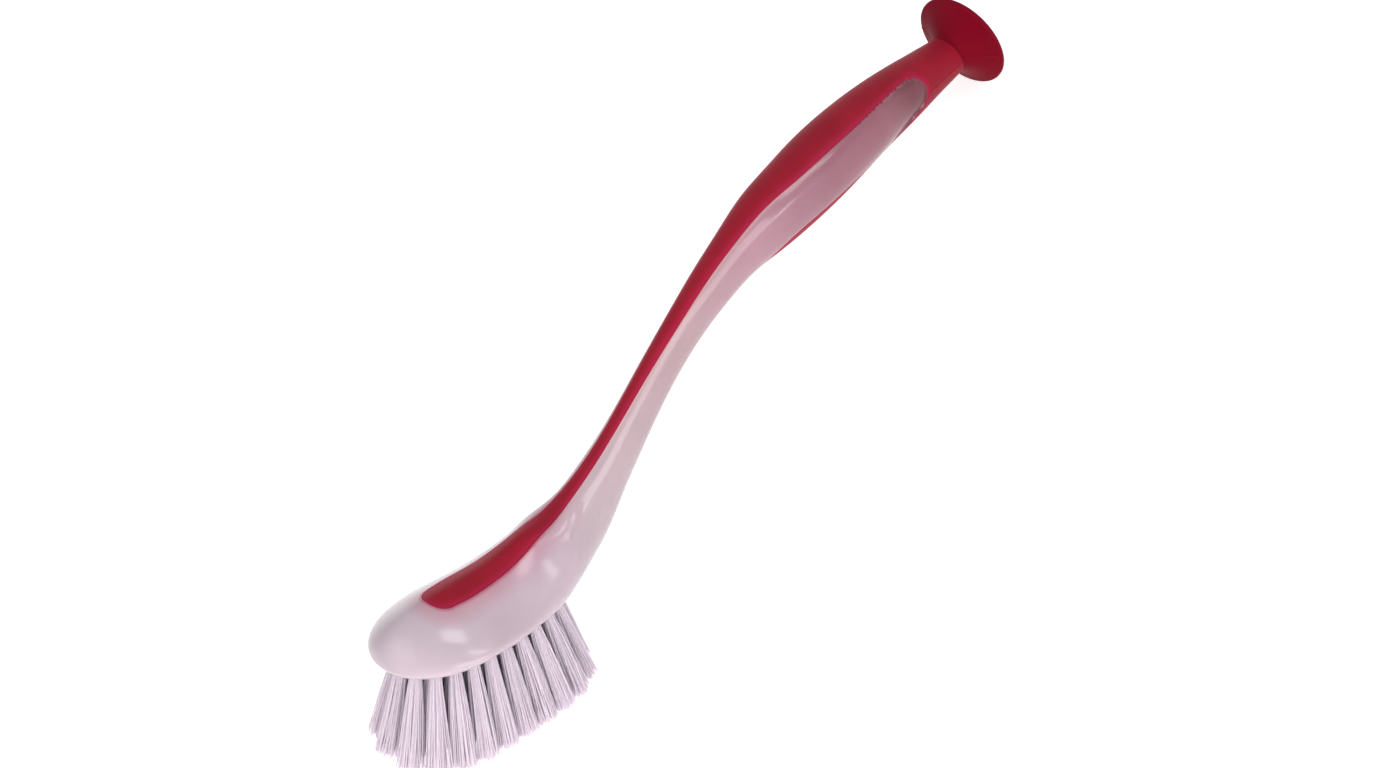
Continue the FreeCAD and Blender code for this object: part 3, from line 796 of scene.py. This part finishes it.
def bristle_field():
    """Places of the tufts in the bristle face, and the directions in which they lean out of it."""
    length = HEAD_LENGTH - FIELD_FRONT_MARGIN - FIELD_HEEL_MARGIN
    width = HEAD_WIDTH - 2 * FIELD_SIDE_MARGIN
    rows = ring_points(length, width)
    rows += ring_points(length - 2 * RING_INSET_ALONG, width - 2 * RING_INSET_ACROSS)
    rows += row_points(length - 4 * RING_INSET_ALONG)
    middle = FIELD_FRONT_MARGIN + length / 2
    lean_along = math.tan(math.radians(FAN_ALONG)) / (length / 2)
    lean_across = math.tan(math.radians(FAN_ACROSS)) / (width / 2)
    places = [(middle + along, across) for along, across in rows]
    directions = [Vector((lean_along * along, lean_across * across, -1)).normalized()
                  for along, across in rows]
    return places, directions


FIELD, TUFT_DIRECTIONS = bristle_field()


def build_tuft(number, place, direction, material):
    """One tuft of separate filaments, packed in its hole, spread below it and trimmed level."""
    draw = np.random.default_rng(number)
    side = direction.orthogonal().normalized()
    other = direction.cross(side)
    root = Vector((place[0], place[1], 0))
    reach = TUFT_LENGTH / -direction.z
    start = -FILAMENT_START_SHARE * HOLE_SHOWN_DEPTH
    clumps = draw.normal(0, CLUMP_SPREAD, (CLUMP_COUNT, 2))
    points, faces = [], []
    for strand in range(FILAMENT_COUNT):
        radius = math.sqrt((strand + 0.5) / FILAMENT_COUNT)
        angle = strand * GOLDEN_ANGLE
        spot = np.array((math.cos(angle), math.sin(angle))) * radius
        clump = clumps[np.argmin(((clumps - spot) ** 2).sum(1))]
        tip = spot + (clump - spot) * CLUMP_PULL * draw.random() + draw.normal(0, TIP_SCATTER, 2)
        length = reach - draw.random() ** 2 * TRIM_SPREAD
        bow = draw.normal(0, FILAMENT_BOW, 2)
        for step in range(FILAMENT_STEPS + 1):
            f = step / FILAMENT_STEPS
            along = start + (length - start) * f
            spread = max(along, 0) / reach
            offset = spot * TUFT_ROOT_RADIUS * (1 - spread) + tip * TUFT_TIP_RADIUS * spread
            offset = offset + bow * math.sin(math.pi * spread)
            centre = root + direction * along + side * offset[0] + other * offset[1]
            for k in range(FILAMENT_SIDES):
                turn = 2 * math.pi * k / FILAMENT_SIDES
                ring = side * math.cos(turn) + other * math.sin(turn)
                points.append(centre + ring * FILAMENT_RADIUS)
        base = strand * (FILAMENT_STEPS + 1) * FILAMENT_SIDES
        for step in range(FILAMENT_STEPS):
            for k in range(FILAMENT_SIDES):
                a = base + step * FILAMENT_SIDES + k
                b = base + step * FILAMENT_SIDES + (k + 1) % FILAMENT_SIDES
                faces.append((a, b, b + FILAMENT_SIDES, a + FILAMENT_SIDES))
        last = base + FILAMENT_STEPS * FILAMENT_SIDES
        faces.append([last + k for k in range(FILAMENT_SIDES)])
        faces.append([base + k for k in reversed(range(FILAMENT_SIDES))])
    node = f"tuft_{number:02d}"
    mesh = bpy.data.meshes.new(f"bristles_{number:02d}")
    mesh.from_pydata([TO_ROW @ p for p in points], [], faces)
    mesh.shade_smooth()
    mesh.set_sharp_from_angle(angle=math.radians(FILAMENT_SHARP_ANGLE))
    mesh.materials.append(material)
    piece = bpy.data.objects.new(f"bristles_{number:02d}", mesh)
    bpy.context.scene.collection.objects.link(piece)
    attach(piece, "brush")
    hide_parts(node)
    return piece


# Suction cup

def arc_points(start, end, radius, side, count):
    """Points of an arc from start to end, bulging to the left (1) or the right (-1)."""
    start, end = Vector(start), Vector(end)
    chord = end - start
    middle = (start + end) / 2
    left = Vector((-chord.y, chord.x)).normalized()
    height = math.sqrt(radius ** 2 - (chord.length / 2) ** 2)
    centre = middle - left * (side * height)
    begin = math.atan2(start.y - centre.y, start.x - centre.x)
    finish = math.atan2(end.y - centre.y, end.x - centre.x)
    sweep = (finish - begin + math.pi) % (2 * math.pi) - math.pi
    return [(centre.x + radius * math.cos(begin + sweep * k / count),
             centre.y + radius * math.sin(begin + sweep * k / count)) for k in range(count + 1)]


def cup_profile():
    """Half profile of the cup, across and along its axis, from the root's pole to the hollow's."""
    root = COLLAR[0] / 2 - ROOT_WALL - ROOT_CLEARANCE
    rim = CUP_DIAMETER / 2
    inner = rim - RIM_WIDTH
    hollow_radius = (inner ** 2 + HOLLOW_DEPTH ** 2) / (2 * HOLLOW_DEPTH)
    back = CUP_DEPTH - CUP_EDGE_HEIGHT
    edge_start = (rim - CUP_EDGE_ROUND, back - CUP_EDGE_DIP)
    edge_end = (rim, back + CUP_EDGE_RISE)
    lip_start = (rim, CUP_DEPTH - CUP_EDGE_ROUND)
    lip_end = (rim - CUP_EDGE_ROUND, CUP_DEPTH)
    mouth = (inner, CUP_DEPTH - RIM_CHAMFER_DEPTH)
    pole = (0, CUP_DEPTH - HOLLOW_DEPTH)
    profile = arc_points((0, -root), (root, 0), root, -1, ROOT_STEPS)
    profile += arc_points((root, 0), edge_start, CUP_BACK_RADIUS, 1, BACK_STEPS)[1:]
    profile += arc_points(edge_start, edge_end, CUP_EDGE_ROUND * CUP_EDGE_ROUND_SHARE, -1, EDGE_STEPS)[1:]
    profile += arc_points(lip_start, lip_end, CUP_EDGE_ROUND, -1, LIP_STEPS)
    profile += [(inner + RIM_CHAMFER_WIDTH, CUP_DEPTH), mouth]
    profile += arc_points(mouth, pole, hollow_radius * HOLLOW_ROUND_SHARE, 1, HOLLOW_STEPS)[1:]
    return profile


def turned(profile, count):
    """Points and faces of a profile turned round the cup's axis; its ends may lie on the axis."""
    points, faces = [], []
    angles = {2 * math.pi * k / count: 0.0 for k in range(count)}
    for middle in (0.0, math.pi):
        angles[middle] = PARTING_RIDGE
        angles[(middle - PARTING_RIDGE_HALF_WIDTH) % (2 * math.pi)] = 0.0
        angles[middle + PARTING_RIDGE_HALF_WIDTH] = 0.0
    count = len(angles)
    rows = len(profile)
    widest = max(range(rows), key=lambda row: profile[row][0])
    for angle, ridge in sorted(angles.items()):
        out = CUP_SIDE * math.cos(angle) + CUP_UP * math.sin(angle)
        for row, (across, along) in enumerate(profile):
            on_back = row < widest and 0 < along < CUP_DEPTH - CUP_EDGE_HEIGHT
            raised = ridge if on_back else 0.0
            points.append(HINGE + CUP_AXIS * (along - raised) + out * across)
    for k in range(count):
        a, b = k * rows, (k + 1) % count * rows
        faces += [(a + i, a + i + 1, b + i + 1, b + i) for i in range(rows - 1)]
    return points, faces


def build_cup(material):
    points, faces = turned(cup_profile(), CUP_SIDES)
    work = working_mesh(points, faces)
    piece = finish_mesh("cup_skin", work, material, CUP_SHARP_ANGLE)
    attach(piece, "cup")
    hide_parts("suction_cup")
    return piece


def build_sleeve(material):
    """Short soft neck that joins collar and cup and bends with the cup."""
    radius = COLLAR[0] / 2 - SLEEVE_INSET
    profile = [(radius + step, along) for step, along in SLEEVE_OUTER + SLEEVE_INNER]
    points, faces = turned(profile + profile[:1], CUP_SIDES)
    work = working_mesh(points, faces)
    piece = finish_mesh("cup_neck", work, material, CUP_SHARP_ANGLE)
    start = TO_ROW @ (HINGE - CUP_AXIS * ROOT_SETBACK)
    end = TO_ROW @ (HINGE + CUP_AXIS * SLEEVE_END)
    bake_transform(piece, "brush", "cup", start=tuple(start), end=tuple(end))
    return piece


# Materials

# Fine grain: scale of its noise, strength and height in metres
BUMP_DETAIL = 5.0
PLASTIC_BUMP = (900.0, 0.02, 0.0004)
ELASTOMER_BUMP = (2600.0, 0.12, 0.0002)
ANCHOR_BUMP = (1500.0, 0.1, 0.0001)

PLASTIC_CLOUD = (55.0, 3.0)
PLASTIC_CLOUD_STOPS = ((0.35, (0.93, 0.92, 0.93)), (0.65, (1.0, 1.0, 1.0)))
PLASTIC_ROUGHNESS = 0.13
PLASTIC_IOR = 1.49
PLASTIC_SUBSURFACE = 0.35
PLASTIC_SUBSURFACE_RADIUS = (0.006, 0.004, 0.004)
PLASTIC_SUBSURFACE_SCALE = 0.5

# Red of the grip and of the cup: darker and brighter patches, colour at the seam as painted light, a lighter
# crimson on the strip's sides, and gloss
ELASTOMER_PATCHES = (90.0, 4.0)
ELASTOMER_DARK_STOP = 0.3
ELASTOMER_BRIGHT_STOP = 0.7
ELASTOMER_ROUGHNESS = (0.46, 0.6)
GRIP_RED = ((0.29, 0.005, 0.020), (0.34, 0.007, 0.025), (0.42, 0.010, 0.055, 1.0), 0.17)
# The cup's red is a darker copy of the grip's red: painted shade of the cup's back, which faces away from the
# lamps
CUP_RED_PAINTED_SHADE = ((0.195, 0.0015, 0.012), (0.225, 0.002, 0.015), None, 0.06)

FILAMENT_CLOUD = (700.0, 2.0)
FILAMENT_STOPS = ((0.3, (0.95, 0.885, 0.94)), (0.7, (0.99, 0.945, 0.985)))
FILAMENT_ROUGHNESS = 0.45
FILAMENT_PASSED_SHARE = 0.6

ANCHOR_STOPS = ((0.3, (0.50, 0.50, 0.48)), (0.7, (0.62, 0.61, 0.59)))
ANCHOR_ROUGHNESS = 0.35


def new_material(name):
    material = bpy.data.materials.new(name)
    material.use_nodes = True
    nodes = material.node_tree.nodes
    return material, nodes, material.node_tree.links, nodes["Principled BSDF"]


def add_node(nodes, kind, **settings):
    """A shader node; capitalised settings with spaces written as underscores are input values."""
    node = nodes.new(kind)
    for key, value in settings.items():
        if hasattr(node, key):
            setattr(node, key, value)
        else:
            node.inputs[key.replace("_", " ")].default_value = value
    return node


def ramp(nodes, stops):
    node = nodes.new("ShaderNodeValToRGB")
    elements = node.color_ramp.elements
    while len(elements) < len(stops):
        elements.new(0.5)
    for element, (position, colour) in zip(elements, stops):
        element.position = position
        element.color = (*colour, 1.0)
    return node


def attribute(nodes, name):
    node = nodes.new("ShaderNodeAttribute")
    node.attribute_name = name
    return node


def mix(nodes, links, factor, first, second, blend="MIX"):
    """A colour mix; factor, first and second are sockets or fixed values."""
    node = nodes.new("ShaderNodeMix")
    node.data_type = "RGBA"
    node.blend_type = blend
    sockets = [s for s in node.inputs if s.enabled]
    for socket, value in zip((sockets[0], sockets[1], sockets[2]), (factor, first, second)):
        if isinstance(value, bpy.types.NodeSocket):
            links.new(value, socket)
        else:
            socket.default_value = value
    return next(s for s in node.outputs if s.enabled)


def noise_over(nodes, links, scale, detail):
    """Noise fixed to the piece."""
    noise = add_node(nodes, "ShaderNodeTexNoise", Scale=scale, Detail=detail)
    coordinates = nodes.new("ShaderNodeTexCoord")
    links.new(coordinates.outputs["Object"], noise.inputs["Vector"])
    return noise


def fine_bump(nodes, links, shader, scale, strength, distance):
    noise = noise_over(nodes, links, scale, BUMP_DETAIL)
    bump = add_node(nodes, "ShaderNodeBump", Strength=strength, Distance=distance)
    links.new(noise.outputs["Fac"], bump.inputs["Height"])
    links.new(bump.outputs["Normal"], shader.inputs["Normal"])
    return noise


# Colour of the plastic along the brush, milky on the head and tinted by the red round it in the grip; its last
# stop is painted shade in the recess at the window's rear end
PLASTIC_STOPS = (
    (0.00, (0.62, 0.51, 0.57)),
    (0.26, (0.61, 0.48, 0.55)),
    (0.36, (0.55, 0.43, 0.47)),
    (0.55, (0.51, 0.34, 0.37)),
    (0.68, (0.49, 0.26, 0.32)),
    (0.82, (0.36, 0.14, 0.19)),
    (0.94, (0.33, 0.11, 0.15)),
    # Painted shade of the recess at the window's rear end
    (1.00, (0.19, 0.03, 0.05)),
)
# Colours beside the seam: colour, reach in millimetres and strength, first the red that shines through the plastic
# on the head, where the wall under the seam is thick, then a painted highlight of the rounded plastic edge, tinted
# salmon, on the neck and the grip
HEAD_GLOWS = (
    ((0.60, 0.27, 0.35, 1.0), 7.0, 0.7),
    ((0.50, 0.05, 0.12, 1.0), 1.3, 0.9),
)
# Painted highlight along the plastic's rounded edge beside the seam on the neck and the grip
HANDLE_PAINTED_HIGHLIGHTS = (
    ((0.80, 0.43, 0.42, 1.0), 1.0, 0.65),
)
# Painted light on the red's margin beside the seam: reach in millimetres and strength
EDGE_PAINTED_LIGHT_REACH = 2.2
EDGE_PAINTED_LIGHT_STRENGTH = 0.8


def fade(nodes, links, value, reach, strength):
    """A number that falls smoothly from a strength to nothing within a reach."""
    node = add_node(nodes, "ShaderNodeMapRange", interpolation_type="SMOOTHSTEP")
    node.inputs["From Max"].default_value = reach
    node.inputs["To Min"].default_value = strength
    node.inputs["To Max"].default_value = 0.0
    links.new(value, node.inputs["Value"])
    return node.outputs["Result"]


def product(nodes, links, first, second):
    node = add_node(nodes, "ShaderNodeMath", operation="MULTIPLY")
    links.new(first, node.inputs[0])
    links.new(second, node.inputs[1])
    return node.outputs[0]


def plastic_material():
    material, nodes, links, shader = new_material("milky_plastic")
    along = attribute(nodes, "along")
    tint = ramp(nodes, PLASTIC_STOPS)
    links.new(along.outputs["Fac"], tint.inputs["Fac"])
    seam = attribute(nodes, "from_seam").outputs["Fac"]
    on_head = attribute(nodes, "on_head").outputs["Fac"]
    on_neck = attribute(nodes, "on_neck").outputs["Fac"]
    glow = tint.outputs["Color"]
    # The head's colours are the red seen through the plastic; the handle's are a painted highlight on the seam's
    # rounded edge
    for side, seam_colours in ((on_neck, HANDLE_PAINTED_HIGHLIGHTS), (on_head, HEAD_GLOWS)):
        for colour, reach, strength in seam_colours:
            near = product(nodes, links, fade(nodes, links, seam, reach, strength), side)
            glow = mix(nodes, links, near, glow, colour)
    cloud = noise_over(nodes, links, *PLASTIC_CLOUD)
    shade = ramp(nodes, PLASTIC_CLOUD_STOPS)
    links.new(cloud.outputs["Fac"], shade.inputs["Fac"])
    colour = mix(nodes, links, 1.0, glow, shade.outputs["Color"], "MULTIPLY")
    links.new(colour, shader.inputs["Base Color"])
    shader.inputs["Roughness"].default_value = PLASTIC_ROUGHNESS
    shader.inputs["IOR"].default_value = PLASTIC_IOR
    shader.inputs["Subsurface Weight"].default_value = PLASTIC_SUBSURFACE
    shader.inputs["Subsurface Radius"].default_value = PLASTIC_SUBSURFACE_RADIUS
    shader.inputs["Subsurface Scale"].default_value = PLASTIC_SUBSURFACE_SCALE
    fine_bump(nodes, links, shader, *PLASTIC_BUMP)
    return material


def elastomer_material(name, dark, bright, edge, specular):
    """Satin red elastomer; where it has an edge colour, its thin margin beside the seam is painted lighter with
    it, as painted light on the strip's sides.
    """
    material, nodes, links, shader = new_material(name)
    noise = fine_bump(nodes, links, shader, *ELASTOMER_BUMP)
    patches = noise_over(nodes, links, *ELASTOMER_PATCHES)
    red = ramp(nodes, ((ELASTOMER_DARK_STOP, dark), (ELASTOMER_BRIGHT_STOP, bright)))
    links.new(patches.outputs["Fac"], red.inputs["Fac"])
    colour = red.outputs["Color"]
    if edge is not None:
        # Painted light: the margin beside the seam turns a lighter crimson
        seam = attribute(nodes, "from_seam").outputs["Fac"]
        near = fade(nodes, links, seam, EDGE_PAINTED_LIGHT_REACH, EDGE_PAINTED_LIGHT_STRENGTH)
        colour = mix(nodes, links, near, colour, edge)
    links.new(colour, shader.inputs["Base Color"])
    rough = add_node(nodes, "ShaderNodeMapRange")
    rough.inputs["To Min"].default_value, rough.inputs["To Max"].default_value = ELASTOMER_ROUGHNESS
    links.new(noise.outputs["Fac"], rough.inputs["Value"])
    links.new(rough.outputs["Result"], shader.inputs["Roughness"])
    shader.inputs["Specular IOR Level"].default_value = specular
    return material


def bristle_material():
    """White filament that passes on more of its light than it scatters back."""
    material, nodes, links, shader = new_material("white_filament")
    cloud = noise_over(nodes, links, *FILAMENT_CLOUD)
    white = ramp(nodes, FILAMENT_STOPS)
    links.new(cloud.outputs["Fac"], white.inputs["Fac"])
    links.new(white.outputs["Color"], shader.inputs["Base Color"])
    shader.inputs["Roughness"].default_value = FILAMENT_ROUGHNESS
    through = nodes.new("ShaderNodeBsdfTranslucent")
    links.new(white.outputs["Color"], through.inputs["Color"])
    both = nodes.new("ShaderNodeMixShader")
    both.inputs["Fac"].default_value = FILAMENT_PASSED_SHARE
    links.new(shader.outputs["BSDF"], both.inputs[1])
    links.new(through.outputs["BSDF"], both.inputs[2])
    links.new(both.outputs["Shader"], nodes["Material Output"].inputs["Surface"])
    return material


def anchor_material():
    material, nodes, links, shader = new_material("anchor_metal")
    shader.inputs["Metallic"].default_value = 1.0
    noise = fine_bump(nodes, links, shader, *ANCHOR_BUMP)
    metal = ramp(nodes, ANCHOR_STOPS)
    links.new(noise.outputs["Fac"], metal.inputs["Fac"])
    links.new(metal.outputs["Color"], shader.inputs["Base Color"])
    shader.inputs["Roughness"].default_value = ANCHOR_ROUGHNESS
    return material


# Stage: floor, light and camera

FLOOR_HALF_SIZE = 6.0
FLOOR_LIFT = 0.0004
FLOOR_ALBEDO = (0.80, 0.80, 0.80, 1.0)
WHITE = (1.0, 1.0, 1.0, 1.0)
FLOOR_SHOWN_STRENGTH = 0.62
WORLD_STRENGTH = 0.5
WORLD_SHOWN_STRENGTH = 1.0


def shown_rays(nodes, links):
    """One for the rays that show the background: from the camera, a reflection or through a piece."""
    rays = nodes.new("ShaderNodeLightPath")
    seen = add_node(nodes, "ShaderNodeMath", operation="MAXIMUM")
    links.new(rays.outputs["Is Camera Ray"], seen.inputs[0])
    links.new(rays.outputs["Is Glossy Ray"], seen.inputs[1])
    through = add_node(nodes, "ShaderNodeMath", operation="MAXIMUM")
    links.new(seen.outputs[0], through.inputs[0])
    links.new(rays.outputs["Is Transmission Ray"], through.inputs[1])
    return through.outputs[0]


def build_floor():
    """Pale floor: diffuse, with a plain glow that only the camera and reflections see."""
    mesh = bpy.data.meshes.new("floor")
    h = FLOOR_HALF_SIZE
    corners = [(-h, -h, -FLOOR_LIFT), (h, -h, -FLOOR_LIFT), (h, h, -FLOOR_LIFT), (-h, h, -FLOOR_LIFT)]
    mesh.from_pydata(corners, [], [(0, 1, 2, 3)])
    material, nodes, links, shader = new_material("pale_floor")
    nodes.remove(shader)
    diffuse = add_node(nodes, "ShaderNodeBsdfDiffuse", Color=FLOOR_ALBEDO)
    strength = add_node(nodes, "ShaderNodeMath", operation="MULTIPLY")
    strength.inputs[1].default_value = FLOOR_SHOWN_STRENGTH
    links.new(shown_rays(nodes, links), strength.inputs[0])
    glow = nodes.new("ShaderNodeEmission")
    links.new(strength.outputs[0], glow.inputs["Strength"])
    both = nodes.new("ShaderNodeAddShader")
    links.new(diffuse.outputs[0], both.inputs[0])
    links.new(glow.outputs[0], both.inputs[1])
    links.new(both.outputs[0], nodes["Material Output"].inputs["Surface"])
    mesh.materials.append(material)
    floor = bpy.data.objects.new("floor", mesh)
    bpy.context.scene.collection.objects.link(floor)


# Soft lamps: place they aim at, azimuth, elevation, distance, width and height in metres, power in
# watts, and whether they show in reflections
MIDDLE = (0.0, 0.0, 0.03)
HEAD = (-0.11, 0.0, 0.03)
LAMPS = {
    "side_light": (MIDDLE, 6.0, 14.0, 0.95, 0.34, 0.44, 1.6, True),
    "low_strip": (MIDDLE, 20.0, 4.0, 0.95, 0.16, 0.12, 0.3, True),
    "neck_strip": (MIDDLE, 37.0, 22.0, 0.95, 0.10, 0.24, 0.3, True),
    "corner_light": (MIDDLE, 50.0, 37.0, 0.95, 0.13, 0.20, 0.42, True),
    "top_light": (MIDDLE, -60.0, 72.0, 1.1, 0.9, 0.9, 2.0, True),
    "back_light": (MIDDLE, 170.0, 40.0, 1.2, 0.8, 0.6, 0.8, True),
    "head_fill": (HEAD, -50.0, 14.0, 0.7, 0.5, 0.4, 2.8, False),
}


def build_light():
    world = bpy.data.worlds.new("studio")
    bpy.context.scene.world = world
    world.use_nodes = True
    nodes, links = world.node_tree.nodes, world.node_tree.links
    background = nodes["Background"]
    background.inputs["Color"].default_value = WHITE
    strength = add_node(nodes, "ShaderNodeMapRange")
    strength.inputs["To Min"].default_value = WORLD_STRENGTH
    strength.inputs["To Max"].default_value = WORLD_SHOWN_STRENGTH
    links.new(shown_rays(nodes, links), strength.inputs["Value"])
    links.new(strength.outputs["Result"], background.inputs["Strength"])
    for name, (aim, azimuth, elevation, distance, width, height, power, shows) in LAMPS.items():
        lamp = bpy.data.lights.new(name, "AREA")
        lamp.shape = "RECTANGLE"
        lamp.size = width
        lamp.size_y = height
        lamp.energy = power
        holder = bpy.data.objects.new(name, lamp)
        a, e = math.radians(azimuth), math.radians(elevation)
        away = Vector((math.sin(a) * math.cos(e), -math.cos(a) * math.cos(e), math.sin(e)))
        holder.location = Vector(aim) + away * distance
        holder.visible_glossy = shows
        holder.rotation_euler = away.to_track_quat("Z", "Y").to_euler()
        bpy.context.scene.collection.objects.link(holder)


def build_camera():
    a, e = math.radians(CAMERA_AZIMUTH), math.radians(CAMERA_ELEVATION)
    k = math.radians(CAMERA_ROLL)
    back = Vector((math.sin(a) * math.cos(e), -math.cos(a) * math.cos(e), math.sin(e)))
    level = Vector((math.cos(a), math.sin(a), 0))
    rise = back.cross(level)
    right = level * math.cos(k) + rise * math.sin(k)
    up = rise * math.cos(k) - level * math.sin(k)
    turn = TO_ROW.to_3x3().normalized()
    data = bpy.data.cameras.new("photo_camera")
    data.sensor_fit = "HORIZONTAL"
    data.sensor_width = SENSOR_WIDTH
    data.lens = SENSOR_WIDTH * PHOTO_FOCAL_PX / PHOTO_WIDTH_PX
    data.clip_start = CAMERA_CLIP_START
    camera = bpy.data.objects.new("photo_camera", data)
    axes = Matrix([turn @ right, turn @ up, turn @ back]).transposed()
    place = TO_ROW @ (Vector(CAMERA_TARGET) + back * CAMERA_DISTANCE)
    camera.matrix_world = Matrix.Translation(place) @ axes.to_4x4()
    bpy.context.scene.collection.objects.link(camera)
    bpy.context.scene.camera = camera


plastic = plastic_material()
elastomer = elastomer_material("red_elastomer", *GRIP_RED)
# The cup and its neck take the darker red with painted shade
cup_red_painted_shade = elastomer_material("cup_elastomer_painted_shade", *CUP_RED_PAINTED_SHADE)
filament = bristle_material()
form_grid = FormGrid()
build_body(form_grid, plastic)
build_grip(form_grid, elastomer)
build_cup(cup_red_painted_shade)
build_sleeve(cup_red_painted_shade)
for tuft_number, (tuft_place, tuft_direction) in enumerate(zip(FIELD, TUFT_DIRECTIONS), start=1):
    build_tuft(tuft_number, tuft_place, tuft_direction, filament)
anchors = frame["nodes"]["tuft_anchors"]
anchors.data.materials.clear()
anchors.data.materials.append(anchor_material())
build_floor()
build_light()
build_camera()
bpy.context.scene.view_settings.view_transform = "Standard"
